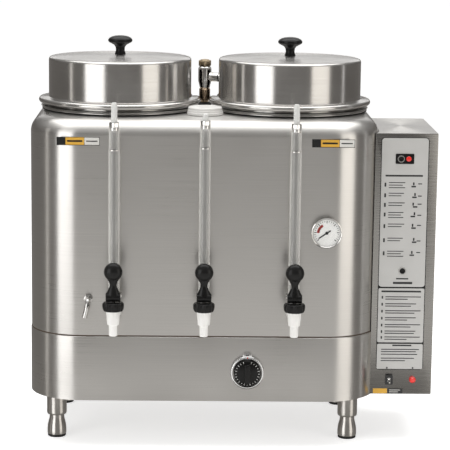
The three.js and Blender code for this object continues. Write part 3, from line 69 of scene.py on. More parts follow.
def set_sheet(name, width, depth, place, finish):
    """A flat sheet of the set in metres, which isn't part of the machine."""
    bm = bmesh.new()
    bmesh.ops.create_grid(bm, x_segments=1, y_segments=1, size=0.5)
    bmesh.ops.scale(bm, vec=(width, depth, 1), verts=bm.verts)
    bmesh.ops.translate(bm, vec=place, verts=bm.verts)
    mesh = bpy.data.meshes.new(name)
    bm.to_mesh(mesh)
    bm.free()
    mesh.materials.append(finish)
    made = bpy.data.objects.new(name, mesh)
    bpy.context.collection.objects.link(made)
    return made


floor_finish = bpy.data.materials.new("floor_paper")
floor_finish.use_nodes = True
paper = floor_finish.node_tree.nodes["Principled BSDF"]
for socket, value in (("Base Color", (0.86, 0.86, 0.86, 1)), ("Roughness", 0.9), ("Specular IOR Level", 0.1),
                      ("Emission Color", (1, 1, 1, 1)), ("Emission Strength", 0.62)):
    paper.inputs[socket].default_value = value
floor = set_sheet("floor", 30, 26.1, (0, 11.95, 0), floor_finish)
floor.visible_glossy = False

# Card: what the front of the machine mirrors is a long sheet lying before it,
# bright near the machine and dimmer toward the camera and along its sides.
card_finish = bpy.data.materials.new("front_card")
card_finish.use_nodes = True
card_nodes, card_links = card_finish.node_tree.nodes, card_finish.node_tree.links
card_nodes.clear()
spot = card_nodes.new("ShaderNodeTexCoord")
axes = card_nodes.new("ShaderNodeSeparateXYZ")
fade = card_nodes.new("ShaderNodeMapRange")
for socket, value in (("From Min", -4.2), ("From Max", -1.0), ("To Min", 0.26), ("To Max", 1.02)):
    fade.inputs[socket].default_value = value
middle_x = card_nodes.new("ShaderNodeMath")
middle_x.operation = "ABSOLUTE"
edge_fade = card_nodes.new("ShaderNodeMapRange")
for socket, value in (("From Min", 0.95), ("From Max", 1.2), ("To Min", 1.0), ("To Max", 0.3)):
    edge_fade.inputs[socket].default_value = value
both = card_nodes.new("ShaderNodeMath")
both.operation = "MULTIPLY"
glow = card_nodes.new("ShaderNodeEmission")
glow.inputs["Color"].default_value = (1, 0.985, 0.96, 1)
card_out = card_nodes.new("ShaderNodeOutputMaterial")
card_links.new(spot.outputs["Object"], axes.inputs["Vector"])
card_links.new(axes.outputs["Y"], fade.inputs["Value"])
card_links.new(axes.outputs["X"], middle_x.inputs[0])
card_links.new(middle_x.outputs["Value"], edge_fade.inputs["Value"])
card_links.new(fade.outputs["Result"], both.inputs[0])
card_links.new(edge_fade.outputs["Result"], both.inputs[1])
card_links.new(both.outputs["Value"], glow.inputs["Strength"])
card_links.new(glow.outputs["Emission"], card_out.inputs["Surface"])
card = set_sheet("front_card", 2.5, 5.2, (-0.05, -3.0, -0.002), card_finish)
card.visible_camera = False
card.visible_diffuse = False
card.visible_shadow = False

# Light: a white surround for the camera, a grey room for everything else, two
# tall soft boxes in front, narrow ones at the sides, one overhead, one behind.
ROOM_LOW, ROOM_HIGH = (0.30, 0.29, 0.275, 1), (0.62, 0.62, 0.61, 1)
ROOM_BETWEEN = ((0.44, (0.20, 0.19, 0.18, 1)), (0.56, (0.13, 0.122, 0.115, 1)), (0.72, (0.30, 0.295, 0.29, 1)))
bpy.context.scene.view_settings.view_transform = "Standard"
room = bpy.data.worlds.new("room")
bpy.context.scene.world = room
room.use_nodes = True
room_nodes, room_links = room.node_tree.nodes, room.node_tree.links
room_nodes.clear()
direction = room_nodes.new("ShaderNodeTexCoord")
parts = room_nodes.new("ShaderNodeSeparateXYZ")
heights = room_nodes.new("ShaderNodeValToRGB")
heights.color_ramp.elements[0].position = 0.30
heights.color_ramp.elements[0].color = ROOM_LOW
heights.color_ramp.elements[1].position = 0.92
heights.color_ramp.elements[1].color = ROOM_HIGH
for place, tone in ROOM_BETWEEN:
    heights.color_ramp.elements.new(place).color = tone
spread = room_nodes.new("ShaderNodeMapRange")
spread.inputs["From Min"].default_value = -1
dim = room_nodes.new("ShaderNodeBackground")
bright = room_nodes.new("ShaderNodeBackground")
bright.inputs["Color"].default_value = (1, 1, 1, 1)
rays = room_nodes.new("ShaderNodeLightPath")
choose = room_nodes.new("ShaderNodeMixShader")
world_out = room_nodes.new("ShaderNodeOutputWorld")
room_links.new(direction.outputs["Generated"], parts.inputs["Vector"])
room_links.new(parts.outputs["Z"], spread.inputs["Value"])
room_links.new(spread.outputs["Result"], heights.inputs["Fac"])
room_links.new(heights.outputs["Color"], dim.inputs["Color"])
room_links.new(rays.outputs["Is Camera Ray"], choose.inputs["Fac"])
room_links.new(dim.outputs["Background"], choose.inputs[1])
room_links.new(bright.outputs["Background"], choose.inputs[2])
room_links.new(choose.outputs["Shader"], world_out.inputs["Surface"])


def soft_box(name, place, aim, width, height, watts, tint=(1, 1, 1)):
    """A large soft lamp that faces a point; the camera doesn't see it."""
    lamp = bpy.data.lights.new(name, "AREA")
    lamp.shape = "RECTANGLE"
    lamp.size, lamp.size_y = width, height
    lamp.energy = watts
    lamp.color = tint
    box = bpy.data.objects.new(name, lamp)
    bpy.context.collection.objects.link(box)
    box.location = place
    box.rotation_euler = (Vector(aim) - Vector(place)).to_track_quat("-Z", "Y").to_euler()
    box.visible_camera = False


soft_box("box_left", (-1.95, -2.15, 0.1), (0, 0, 0.1), 1.6, 3.4, 40)
soft_box("box_right", (2.20, -1.89, 0.1), (0, 0, 0.1), 1.55, 3.4, 25, (1, 0.965, 0.91))
soft_box("strip_left", (-2.7, -0.35, 0.5), (0, 0, 0.5), 0.16, 2.4, 1.6, (1, 0.97, 0.93))
soft_box("strip_right", (2.8, 0.1, 0.5), (0, 0, 0.5), 0.16, 2.4, 1.2)
soft_box("box_over", (0, 0.2, 2.6), (0, 0, 0), 3.4, 2.6, 66)
soft_box("box_behind", (0, 3.2, 1.6), (0, 0, 0.4), 3.0, 1.2, 9)

# Feet: a turned stainless foot under each leg, screwed up into the leg tube by
# its own stem, on a thin black rubber pad.
MM = 0.001
FOOT_PROFILE = ((0, 5), (17.4, 5), (18.4, 5.6), (18.8, 6.8), (18.8, 15), (18.2, 22),
                (16.8, 29), (15.2, 35), (14.5, 39), (14.5, 89.7), (0, 89.7))
PAD_PROFILE = ((0, 0), (16.8, 0), (17.8, 0.8), (18.1, 2), (17.8, 5), (0, 5))
ROUND = 64


def turned(profile, steps=ROUND):
    """A shape of revolution about Z from radius and height pairs in millimetres."""
    bm = bmesh.new()
    verts = [bm.verts.new((r * MM, 0, z * MM)) for r, z in profile]
    edges = [bm.edges.new(pair) for pair in zip(verts, verts[1:])]
    bmesh.ops.spin(bm, geom=verts + edges, axis=(0, 0, 1), cent=(0, 0, 0),
                   angle=2 * pi, steps=steps, use_merge=True)
    bmesh.ops.remove_doubles(bm, verts=bm.verts, dist=1e-6)
    bmesh.ops.recalc_face_normals(bm, faces=bm.faces)
    return bm



def rounded_off(bm, edges, width, segments):
    """Bevels the given edges by millimetres."""
    bmesh.ops.bevel(bm, geom=edges, offset=width * MM, offset_type="OFFSET", segments=segments,
                    profile=0.5, affect="EDGES", clamp_overlap=True, material=-1)
    return bm


def softened(bm, width, segments=2, least=30):
    """Bevels every edge that turns by more than the given angle."""
    edges = [e for e in bm.edges if e.is_manifold and e.calc_face_angle(0) > radians(least)]
    return rounded_off(bm, edges, width, segments)


def moved(bm, x=0.0, y=0.0, z=0.0):
    """Moves a shape by millimetres."""
    bmesh.ops.translate(bm, vec=(x * MM, y * MM, z * MM), verts=bm.verts)
    return bm


def brought(bm, place):
    """Moves a shape by metres, to where its CAD node is."""
    bmesh.ops.translate(bm, vec=place, verts=bm.verts)
    return bm


def joined(first, *others):
    """Puts several shapes in one."""
    for other in others:
        carrier = bpy.data.meshes.new("carrier")
        other.to_mesh(carrier)
        first.from_mesh(carrier)
        bpy.data.meshes.remove(carrier)
        other.free()
    return first


def finished(name, bm, body, finish, replaces=(), sharp=32):
    """Makes a shape a piece of the machine, smooth wherever it isn't creased."""
    mesh = bpy.data.meshes.new(name)
    bm.to_mesh(mesh)
    bm.free()
    mesh.polygons.foreach_set("use_smooth", [True] * len(mesh.polygons))
    mesh.set_sharp_from_angle(angle=radians(sharp))
    mesh.materials.append(finish)
    piece = bpy.data.objects.new(name, mesh)
    bpy.context.collection.objects.link(piece)
    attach(piece, body)
    if replaces:
        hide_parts(*replaces)
    return piece


def middle(node):
    """The middle of a CAD node's box, in metres."""
    low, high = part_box(node)
    return (low + high) / 2


def group_of(name, inputs, outputs):
    """An empty shader node group with its sockets."""
    tree = bpy.data.node_groups.new(name, "ShaderNodeTree")
    for label, kind, value in inputs:
        socket = tree.interface.new_socket(name=label, in_out="INPUT", socket_type=kind)
        socket.default_value = value
    for label in outputs:
        tree.interface.new_socket(name=label, in_out="OUTPUT", socket_type="NodeSocketFloat")
    entry = tree.nodes.new("NodeGroupInput")
    leave = tree.nodes.new("NodeGroupOutput")
    return tree, entry, leave


def own_place(tree):
    """Coordinates that ride with the piece."""
    return tree.nodes.new("ShaderNodeTexCoord").outputs["Object"]


def noise(tree, vector, scale, detail=2.0, roughness=0.55):
    """A cloudy value between 0 and 1."""
    node = tree.nodes.new("ShaderNodeTexNoise")
    for socket, value in (("Scale", scale), ("Detail", detail), ("Roughness", roughness)):
        node.inputs[socket].default_value = value
    tree.links.new(vector, node.inputs["Vector"])
    return node.outputs["Fac"]


def ramped(tree, value, low, high, to_low=0.0, to_high=1.0):
    """Maps one range of a value to another."""
    node = tree.nodes.new("ShaderNodeMapRange")
    for socket, limit in (("From Min", low), ("From Max", high), ("To Min", to_low), ("To Max", to_high)):
        node.inputs[socket].default_value = limit
    tree.links.new(value, node.inputs["Value"])
    return node.outputs["Result"]


def stretched(tree, place, factors):
    """Coordinates multiplied by a fixed or linked vector."""
    node = tree.nodes.new("ShaderNodeVectorMath")
    node.operation = "MULTIPLY"
    tree.links.new(place, node.inputs[0])
    if isinstance(factors, tuple):
        node.inputs[1].default_value = factors
    else:
        tree.links.new(factors, node.inputs[1])
    return node.outputs["Vector"]


# Straight brushing: fine lines that run level round a wall, with soft smudges.
straight_grain, entry, leave = group_of(
    "straight_grain",
    (("Stretch", "NodeSocketVector", (6, 6, 1600)), ("Smudge Scale", "NodeSocketFloat", 9)),
    ("Grain", "Smudge"))
place = own_place(straight_grain)
lines = stretched(straight_grain, place, entry.outputs["Stretch"])
straight_grain.links.new(noise(straight_grain, lines, 1.0, 3.0, 0.6), leave.inputs["Grain"])
smudge = straight_grain.nodes.new("ShaderNodeTexNoise")
smudge.inputs["Detail"].default_value = 3
straight_grain.links.new(place, smudge.inputs["Vector"])
straight_grain.links.new(entry.outputs["Smudge Scale"], smudge.inputs["Scale"])
straight_grain.links.new(smudge.outputs["Fac"], leave.inputs["Smudge"])


def mixed(tree, fac, first, second):
    """A colour between two fixed ones."""
    node = tree.nodes.new("ShaderNodeMix")
    node.data_type = "RGBA"
    tree.links.new(fac, node.inputs["Factor"])
    node.inputs[6].default_value = (*first, 1)
    node.inputs[7].default_value = (*second, 1)
    return node.outputs[2]


def bumped(tree, height, strength, distance):
    """Fine relief from a value."""
    node = tree.nodes.new("ShaderNodeBump")
    node.inputs["Strength"].default_value = strength
    node.inputs["Distance"].default_value = distance
    tree.links.new(height, node.inputs["Height"])
    return node.outputs["Normal"]


def material(name, metallic=0.0, specular=0.5, coat=0.0, coat_roughness=0.05):
    """A new surface with its plain settings."""
    finish = bpy.data.materials.new(name)
    finish.use_nodes = True
    tree = finish.node_tree
    shader = tree.nodes["Principled BSDF"]
    for socket, value in (("Metallic", metallic), ("Specular IOR Level", specular), ("Coat Weight", coat),
                          ("Coat Roughness", coat_roughness)):
        shader.inputs[socket].default_value = value
    return finish, tree, shader


def fed(tree, shader, colour, rough, normal):
    """Links a finish's colour, roughness and relief to its shader."""
    for socket, value in (("Base Color", colour), ("Roughness", rough), ("Normal", normal)):
        tree.links.new(value, shader.inputs[socket])


def grained(tree, shader, stretch, smudge_scale, anisotropy):
    """Puts the straight brushing in a steel, and draws what it mirrors out along
    the height of the wall."""
    grain = tree.nodes.new("ShaderNodeGroup")
    grain.node_tree = straight_grain
    grain.inputs["Stretch"].default_value = stretch
    grain.inputs["Smudge Scale"].default_value = smudge_scale
    shader.inputs["Anisotropic"].default_value = anisotropy
    shader.inputs["Anisotropic Rotation"].default_value = 0.25
    tangent = tree.nodes.new("ShaderNodeTangent")
    tangent.direction_type = "RADIAL"
    tangent.axis = "Z"
    tree.links.new(tangent.outputs["Tangent"], shader.inputs["Tangent"])
    return grain.outputs["Grain"], grain.outputs["Smudge"]


def brushed(name, dark, light, gloss, stretch, anisotropy=0.82):
    """Brushed stainless sheet whose gloss follows both its lines and its smudges."""
    finish, tree, shader = material(name, metallic=1.0)
    grain, smudge = grained(tree, shader, stretch, 9, anisotropy)
    rough = tree.nodes.new("ShaderNodeMath")
    rough.operation = "MULTIPLY_ADD"
    rough.inputs[1].default_value = 0.10
    tree.links.new(smudge, rough.inputs[0])
    tree.links.new(ramped(tree, grain, 0.3, 0.7, gloss - 0.08, gloss), rough.inputs[2])
    fed(tree, shader, mixed(tree, grain, dark, light), rough.outputs["Value"],
        bumped(tree, grain, 0.10, 0.0002))
    return finish


foot_steel = brushed("foot_steel", (0.42, 0.40, 0.375), (0.66, 0.64, 0.61), 0.30, (900, 900, 1200))
black_rubber, tree, shader = material("black_rubber", specular=0.3)
speck = noise(tree, own_place(tree), 900, 2)
fed(tree, shader, mixed(tree, speck, (0.008, 0.008, 0.008), (0.026, 0.025, 0.024)),
    ramped(tree, speck, 0.3, 0.7, 0.6, 0.8), bumped(tree, speck, 0.3, 0.0003))

CORNERS = ("front_left", "front_right", "rear_left", "rear_right")
for corner in CORNERS:
    node = f"foot_{corner}"
    centre = middle(node)
    place = (centre.x, centre.y, 0)
    finished(f"turned_{node}", brought(turned(FOOT_PROFILE), place), f"{node}_body",
             foot_steel, (node,))
    finished(f"pad_{corner}", brought(turned(PAD_PROFILE), place), f"{node}_body",
             black_rubber)

# Base and legs: a flat stainless plate closes the body's underside, and a
# round leg tube with a rolled lower end is welded below each corner of it.
LEG_PROFILE = ((14.9, 90), (14.9, 46), (15.8, 45), (17.4, 45.1), (18.7, 46.1), (19.4, 47.8),
               (19.6, 50), (19.6, 95.5))


def oblong(width, depth, radius, steps=20):
    """A flat face with round corners, sized in metres, centred on the origin."""
    bm = bmesh.new()
    bmesh.ops.create_grid(bm, x_segments=1, y_segments=1, size=0.5)
    bmesh.ops.scale(bm, vec=(width, depth, 1), verts=bm.verts)
    bmesh.ops.bevel(bm, geom=bm.verts[:], offset=radius, offset_type="OFFSET", segments=steps,
                    profile=0.5, affect="VERTICES", clamp_overlap=True, material=-1)
    return bm


def raised(bm, height):
    """Draws a flat face up into a slab and returns its new top faces."""
    made = bmesh.ops.extrude_face_region(bm, geom=bm.faces[:])["geom"]
    lifted = [g for g in made if isinstance(g, bmesh.types.BMVert)]
    bmesh.ops.translate(bm, vec=(0, 0, height), verts=lifted)
    bmesh.ops.recalc_face_normals(bm, faces=bm.faces)
    return [f for f in bm.faces if abs(f.normal.z) > 0.99 and f.calc_center_median().z > height * 0.99]


jacket_low, jacket_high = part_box("jacket_shell")
skirt_low, skirt_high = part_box("base_skirt")
frame_low, frame_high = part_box("base_frame")
body_middle = (jacket_low + jacket_high) / 2
JACKET_CORNER = 105 * MM
BASE_SHEET = 3
plate = oblong(frame_high.x - frame_low.x, frame_high.y - frame_low.y, JACKET_CORNER)
raised(plate, BASE_SHEET * MM)
softened(plate, 0.5, 1)
brought(plate, (body_middle.x, body_middle.y, skirt_low.z))
legs = []
for corner in CORNERS:
    centre = middle(f"foot_{corner}")
    legs.append(brought(turned(LEG_PROFILE), (centre.x, centre.y, 0)))
leg_steel = brushed("leg_steel", (0.40, 0.38, 0.355), (0.62, 0.60, 0.57), 0.30, (700, 700, 1400))
finished("base_and_legs", joined(plate, *legs), "machine", leg_steel,
         ("base_frame",))

# Skirt: the lower body is a band of brushed sheet, bent round the corners, with
# a ledge turned in along its top edge for the jacket to stand on.
BODY_SHEET = 2
SKIRT_LEDGE = 12
CORNER_STEPS = 28


def shelled(bm, thickness):
    """Gives an open sheet a wall, inward from its outside."""
    bmesh.ops.recalc_face_normals(bm, faces=bm.faces)
    whole = scratch(bm)
    wall = whole.modifiers.new("wall", "SOLIDIFY")
    wall.thickness = thickness * MM
    wall.offset = -1
    wall.use_even_offset = True
    return taken(whole)


def scratch(bm):
    """Puts a shape in an object of its own, to carry modifiers for a moment."""
    mesh = bpy.data.meshes.new("scratch")
    bm.to_mesh(mesh)
    bm.free()
    holder = bpy.data.objects.new("scratch", mesh)
    bpy.context.collection.objects.link(holder)
    return holder


def taken(holder, *tools):
    """Applies a scratch object's modifiers and gives its mesh back as a shape."""
    bpy.context.view_layer.update()
    graph = bpy.context.evaluated_depsgraph_get()
    mesh = bpy.data.meshes.new_from_object(holder.evaluated_get(graph), depsgraph=graph)
    bm = bmesh.new()
    bm.from_mesh(mesh)
    bpy.data.meshes.remove(mesh)
    for used in (holder, *tools):
        spent = used.data
        bpy.data.objects.remove(used)
        bpy.data.meshes.remove(spent)
    return bm


def face_up(bm, height):
    """The faces that look up at a height."""
    return [f for f in bm.faces if f.normal.z > 0.99 and abs(f.calc_center_median().z - height) < 1e-5]


def face_down(bm):
    """The faces that look down."""
    return [f for f in bm.faces if f.normal.z < -0.99]


def without_top(bm, height):
    """Opens a slab at the top, inside the lip that was inset there."""
    lid_faces = [f for f in face_up(bm, height) if f.calc_area() > 0.1]
    bmesh.ops.delete(bm, geom=lid_faces, context="FACES")
    return bm


skirt_height = skirt_high.z - skirt_low.z
skirt = oblong(skirt_high.x - skirt_low.x, skirt_high.y - skirt_low.y, JACKET_CORNER + 1.2 * MM, CORNER_STEPS)
raised(skirt, skirt_height)
bmesh.ops.delete(skirt, geom=face_down(skirt), context="FACES_ONLY")
softened(skirt, 1.6, 3)
bmesh.ops.inset_region(skirt, faces=face_up(skirt, skirt_height), thickness=SKIRT_LEDGE * MM, depth=0)
brought(without_top(skirt, skirt_height), (body_middle.x, body_middle.y, skirt_low.z))
body_steel = brushed("body_steel", (0.50, 0.485, 0.465), (0.66, 0.645, 0.62), 0.31, (5, 5, 1500))
finished("brushed_skirt", shelled(skirt, BODY_SHEET), "machine", body_steel,
         ("base_skirt",))

# Jacket: the upper body is one deep-drawn sheet with big round corners; it rolls
# over at the top in a round shoulder and ends in a lip on the flat deck.
ROLL = 32
JACKET_LIP = 2.6
jacket_height = jacket_high.z - jacket_low.z
jacket = oblong(jacket_high.x - jacket_low.x, jacket_high.y - jacket_low.y, JACKET_CORNER, CORNER_STEPS)
raised(jacket, jacket_height)
bmesh.ops.delete(jacket, geom=face_down(jacket), context="FACES_ONLY")
brim = [e for e in jacket.edges if e.is_manifold and e.calc_face_angle(0) > radians(60)]
rounded_off(jacket, brim, ROLL, 14)
bmesh.ops.inset_region(jacket, faces=[f for f in face_up(jacket, jacket_height) if f.calc_area() > 0.1],
                       thickness=JACKET_LIP * MM, depth=0)
brought(without_top(jacket, jacket_height), (body_middle.x, body_middle.y, jacket_low.z))
finished("drawn_jacket", shelled(jacket, BODY_SHEET), "machine", body_steel,
         ("jacket_shell",), 50)

# Seam: a thin dark brown band, painted shade of the joint, runs all round between the jacket and the
# skirt's ledge, and stands a quarter of a millimetre proud of the sheet.
SEAM_HEIGHT, SEAM_PROUD, SEAM_THICK = 2.2, 0.25, 0.6
CLOUD_SCALE, SPECK_SCALE = 22, 1040


def plastic(name, dark, light, gloss, coat=0.0, specular=0.5):
    """A moulded, painted or printed surface with a faint cloud and fine grain."""
    finish, tree, shader = material(name, specular=specular, coat=coat, coat_roughness=0.12)
    place = own_place(tree)
    cloud = noise(tree, place, CLOUD_SCALE, 3)
    speck = noise(tree, place, SPECK_SCALE, 2)
    fed(tree, shader, mixed(tree, cloud, dark, light), ramped(tree, cloud, 0.3, 0.7, gloss, gloss + 0.12),
        bumped(tree, speck, 0.18, 0.0002))
    return finish


seam = oblong(jacket_high.x - jacket_low.x + 2 * SEAM_PROUD * MM,
              jacket_high.y - jacket_low.y + 2 * SEAM_PROUD * MM,
              JACKET_CORNER + SEAM_PROUD * MM, CORNER_STEPS)
raised(seam, SEAM_HEIGHT * MM)
bmesh.ops.delete(seam, geom=[f for f in seam.faces if abs(f.normal.z) > 0.9], context="FACES_ONLY")
brought(seam, (body_middle.x, body_middle.y, jacket_low.z + 0.05 * MM))
# The band's dark brown is painted shade in the joint between jacket and skirt.
painted_seam_shade = plastic("seam_painted_shade", (0.055, 0.040, 0.030), (0.10, 0.075, 0.055), 0.5, specular=0.2)
finished("painted_jacket_seam", shelled(seam, SEAM_THICK), "machine", painted_seam_shade)

# Deck: a flat plate set in the shoulder, cut out for the two liners, the spray
# riser and the fill hole.
LINER_HOLE, RISER_HOLE, FILL_HOLE = 134.3, 8.5, 26.3
deck_low, deck_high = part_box("top_deck")
deck = oblong(deck_high.x - deck_low.x, deck_high.y - deck_low.y, JACKET_CORNER - ROLL * MM)
bmesh.ops.delete(deck, geom=deck.faces[:], context="FACES_ONLY")
URNS = {side: middle(f"coffee_liner_{side}") for side in ("left", "right")}
post = middle("spray_riser")
fill = middle("fill_cap")
for centre, radius, steps in ((URNS["left"], LINER_HOLE, 96), (URNS["right"], LINER_HOLE, 96),
                              (post, RISER_HOLE, 24), (fill, FILL_HOLE, 48)):
    here = Matrix.Translation((centre.x - body_middle.x, centre.y - body_middle.y, 0))
    bmesh.ops.create_circle(deck, cap_ends=False, radius=radius * MM, segments=steps, matrix=here)
bmesh.ops.triangle_fill(deck, use_beauty=True, use_dissolve=False, edges=deck.edges[:])
bmesh.ops.recalc_face_normals(deck, faces=deck.faces)
if sum(f.normal.z for f in deck.faces) < 0:
    bmesh.ops.reverse_faces(deck, faces=deck.faces)
brought(deck, (body_middle.x, body_middle.y, deck_high.z - 0.2 * MM))
deck_steel = brushed("deck_steel", (0.55, 0.54, 0.52), (0.72, 0.71, 0.69), 0.34, (9, 1400, 9), 0.6)
finished("deck_plate", shelled(deck, 1.8), "machine", deck_steel, ("top_deck",))

# Liners: each urn is a deep stainless pot hung in the deck by its own rim, on a
# black gasket that shows as a thin dark line.
GASKET_PROFILE = ((134.4, 644.2), (155.2, 644.2), (155.8, 645.2), (155.2, 646.1), (134.4, 646.1),
                  (134.4, 644.2))
LINER_PROFILE = ((0, 252), (122, 252), (128, 253.6), (132.4, 258), (134, 264), (134, 645.8), (136, 646.2),
                 (154.6, 646.2), (156, 647.2), (156, 648.4), (155.2, 649.3), (134.4, 649.3), (132.8, 648.7),
                 (132, 647.2), (132, 264), (130.6, 259.2), (126.8, 255.4), (122, 254), (0, 254))
liner_steel = brushed("liner_steel", (0.50, 0.49, 0.47), (0.68, 0.67, 0.65), 0.28, (6, 6, 1200))
for side, urn in URNS.items():
    here = (urn.x, urn.y, 0)
    finished(f"deep_liner_{side}", brought(turned(LINER_PROFILE, 128), here), "machine",
             liner_steel, (f"coffee_liner_{side}",))
    finished(f"liner_gasket_{side}", brought(turned(GASKET_PROFILE, 96), here), "machine",
             black_rubber)

# Baskets: a shallow stainless pan with drain holes rests on each liner's rim,
# and holds the filter paper and the ground coffee.
HOLE_RING, HOLE_RADIUS = 60, 8
PAN_SHEET = 1.2
PAN_RINGS = ((126, 504), (128, 504.6), (129.2, 506.5), (129.6, 509), (129.6, 648.5), (130.2, 650.8),
             (131.6, 651.8), (155.6, 651.8), (157.2, 651.5), (157.9, 650.8))


def pan(rings, holes):
    """A flat holed disc whose edge is drawn out through radius and height rings."""
    bm = bmesh.new()
    radius, height = rings[0]
    level = Matrix.Translation((0, 0, height * MM))
    bmesh.ops.create_circle(bm, cap_ends=False, radius=radius * MM, segments=96, matrix=level)
    for x, y, hole in holes:
        bmesh.ops.create_circle(bm, cap_ends=False, radius=hole * MM, segments=24,
                                matrix=level @ Matrix.Translation((x * MM, y * MM, 0)))
    bmesh.ops.triangle_fill(bm, use_beauty=True, use_dissolve=False, edges=bm.edges[:])
    if sum(f.normal.z for f in bm.faces) < 0:
        bmesh.ops.reverse_faces(bm, faces=bm.faces)
    edge = [e for e in bm.edges if e.is_boundary
            and all(v.co.xy.length > (radius - 1) * MM for v in e.verts)]
    for new_radius, new_height in rings[1:]:
        made = bmesh.ops.extrude_edge_only(bm, edges=edge)["geom"]
        verts = [g for g in made if isinstance(g, bmesh.types.BMVert)]
        edge = [g for g in made if isinstance(g, bmesh.types.BMEdge)]
        share = new_radius / radius
        bmesh.ops.scale(bm, vec=(share, share, 1), verts=verts)
        bmesh.ops.translate(bm, vec=(0, 0, (new_height - height) * MM), verts=verts)
        radius, height = new_radius, new_height
    bmesh.ops.recalc_face_normals(bm, faces=bm.faces)
    return bm


ring_angles = [k * pi / 3 for k in range(6)]
drains = [(0, 0, HOLE_RADIUS)] + [(HOLE_RING * cos(a), HOLE_RING * sin(a), HOLE_RADIUS) for a in ring_angles]
for side, urn in URNS.items():
    basket = brought(shelled(pan(PAN_RINGS, drains), PAN_SHEET), (urn.x, urn.y, 0))
    finished(f"drain_basket_{side}", basket, "machine", liner_steel,
             (f"brew_basket_{side}",))

# Lids: a deep straight-sided cover of brushed sheet with a rolled bead round its
# foot, slotted on the side of the post so that it can drop over the arm.
LID_PROFILE = ((0, 751.5), (70, 750.4), (128, 748.0), (137.5, 747.2), (140.6, 746.1), (142.1, 743.8),
               (142.5, 741), (142.5, 671), (143.3, 668.6), (145.4, 667.5), (157.2, 667.5), (159.9, 666.8),
               (161.8, 664.8), (162.5, 662.1), (161.8, 659.4), (159.9, 657.5), (157.2, 656.8), (155.6, 657.2),
               (154.6, 658.6), (156.6, 658.9), (158.9, 660.2), (159.8, 662.1), (158.9, 664.4), (157, 665.6),
               (144.6, 665.6), (142.5, 664.9), (141.6, 662.6), (141.6, 652.4), (140.6, 652.4), (140.6, 742),
               (139.2, 745.2), (136, 746), (70, 748.6), (0, 749.6))
SLOT_OUT, SLOT_WIDTH, SLOT_HEIGHT, SLOT_TOP, SLOT_ROUND = 50, 42, 67, 717.4, 6
LID_WALL_MIDDLE = 147


def spun(bm, angle):
    """Turns a shape about Z through an angle in radians."""
    bmesh.ops.rotate(bm, cent=(0, 0, 0), matrix=Matrix.Rotation(angle, 3, "Z"), verts=bm.verts)
    return bm


lid_steel, tree, shader = material("lid_steel", metallic=1.0)
grain, smudge = grained(tree, shader, (6, 6, 1500), 12, 0.85)
fed(tree, shader, mixed(tree, grain, (0.46, 0.445, 0.425), (0.62, 0.605, 0.585)),
    ramped(tree, smudge, 0.3, 0.7, 0.21, 0.27), bumped(tree, grain, 0.10, 0.0002))
for side, urn in URNS.items():
    cover = scratch(turned(LID_PROFILE, 144))
    slot = bmesh.new()
    bmesh.ops.create_cube(slot, size=1)
    bmesh.ops.scale(slot, vec=(SLOT_OUT * MM, SLOT_WIDTH * MM, SLOT_HEIGHT * MM), verts=slot.verts)
    upper = [e for e in slot.edges if abs(e.verts[0].co.y - e.verts[1].co.y) < 1e-6
             and abs(e.verts[0].co.z - e.verts[1].co.z) < 1e-6 and e.verts[0].co.z > 0]
    rounded_off(slot, upper, SLOT_ROUND, 5)
    moved(slot, LID_WALL_MIDDLE, 0, SLOT_TOP - SLOT_HEIGHT / 2)
    cutter = scratch(spun(slot, atan2(post.y - urn.y, post.x - urn.x)))
    notch = cover.modifiers.new("slot", "BOOLEAN")
    notch.operation = "DIFFERENCE"
    notch.solver = "EXACT"
    notch.object = cutter
    lid = brought(taken(cover, cutter), (urn.x, urn.y, 0))
    finished(f"brushed_lid_{side}", lid, f"lid_{side}_body", lid_steel,
             (f"lid_{side}",), 40)

# Lid knobs: a black moulded mushroom on a narrow neck, held by a screw from
# inside the lid.
KNOB_PROFILE = ((0, 751.8), (10.6, 751.8), (11, 752.6), (10.7, 754.2), (9.6, 756.4), (9, 758.6), (9, 763),
                (9.8, 767), (12.6, 770.6), (17.6, 773.4), (22, 775.6), (24, 777.8), (24.4, 779.8), (23.8, 782),
                (21.6, 784.6), (17.6, 786.9), (12.2, 788.5), (6, 789.3), (0, 789.5))
black_moulded = plastic("black_moulded", (0.004, 0.004, 0.004), (0.012, 0.0115, 0.011), 0.24, coat=0.12,
                        specular=0.16)
for side, urn in URNS.items():
    finished(f"moulded_knob_{side}", brought(turned(KNOB_PROFILE), (urn.x, urn.y, 0)),
             f"lid_{side}_body", black_moulded, (f"lid_knob_{side}",))

# Spray post: a chromed riser with a flared foot and a copper-toned collar; the
# swivel turns on it and the arm carries a spray head to one urn or the other.
FOOT_RING = ((8.6, 644.4), (16.8, 644.4), (17, 645.6), (14, 648.4), (11.2, 650.6), (9.2, 651.2), (8.6, 651.2),
             (8.6, 644.4))
RISER_PROFILE = ((0, 600), (8.2, 600), (8.2, 655.4), (10.2, 655.8), (11.2, 657), (11.2, 677.8), (10.4, 679),
                 (6, 679.3), (6, 724.9), (5, 725), (5, 731.8), (0, 731.8))
SWIVEL_PROFILE = ((6.4, 679.8), (9.2, 679.8), (10.4, 681), (10.9, 685), (13.1, 693), (13.4, 696), (13.4, 718),
                  (13, 721), (11.4, 723.6), (9.6, 724.6), (6.4, 724.6), (6.4, 679.8))
ARM_Z, ARM_REACH, ARM_HEADING = 702.7, 180.28, -19.44
ARM_PROFILE = ((0, 12), (9.4, 12), (9.4, 29.6), (8.6, 30.7), (7, 30.9), (7, ARM_REACH), (0, ARM_REACH))
ELBOW_PROFILE = ((0, 0), (3.6, 0.6), (6.2, 2.4), (7, 6), (7, 22), (6.2, 25.6), (3.6, 27.4), (0, 28))
HEAD_PROFILE = ((0, 678.7), (26.4, 678.7), (28, 680), (28, 684), (26.6, 685.6), (12, 687.6), (0, 687.7))
NUT_FLATS, NUT_HEIGHT, NUT_Z, NUT_TURN = 24.4, 11.2, 725, -6
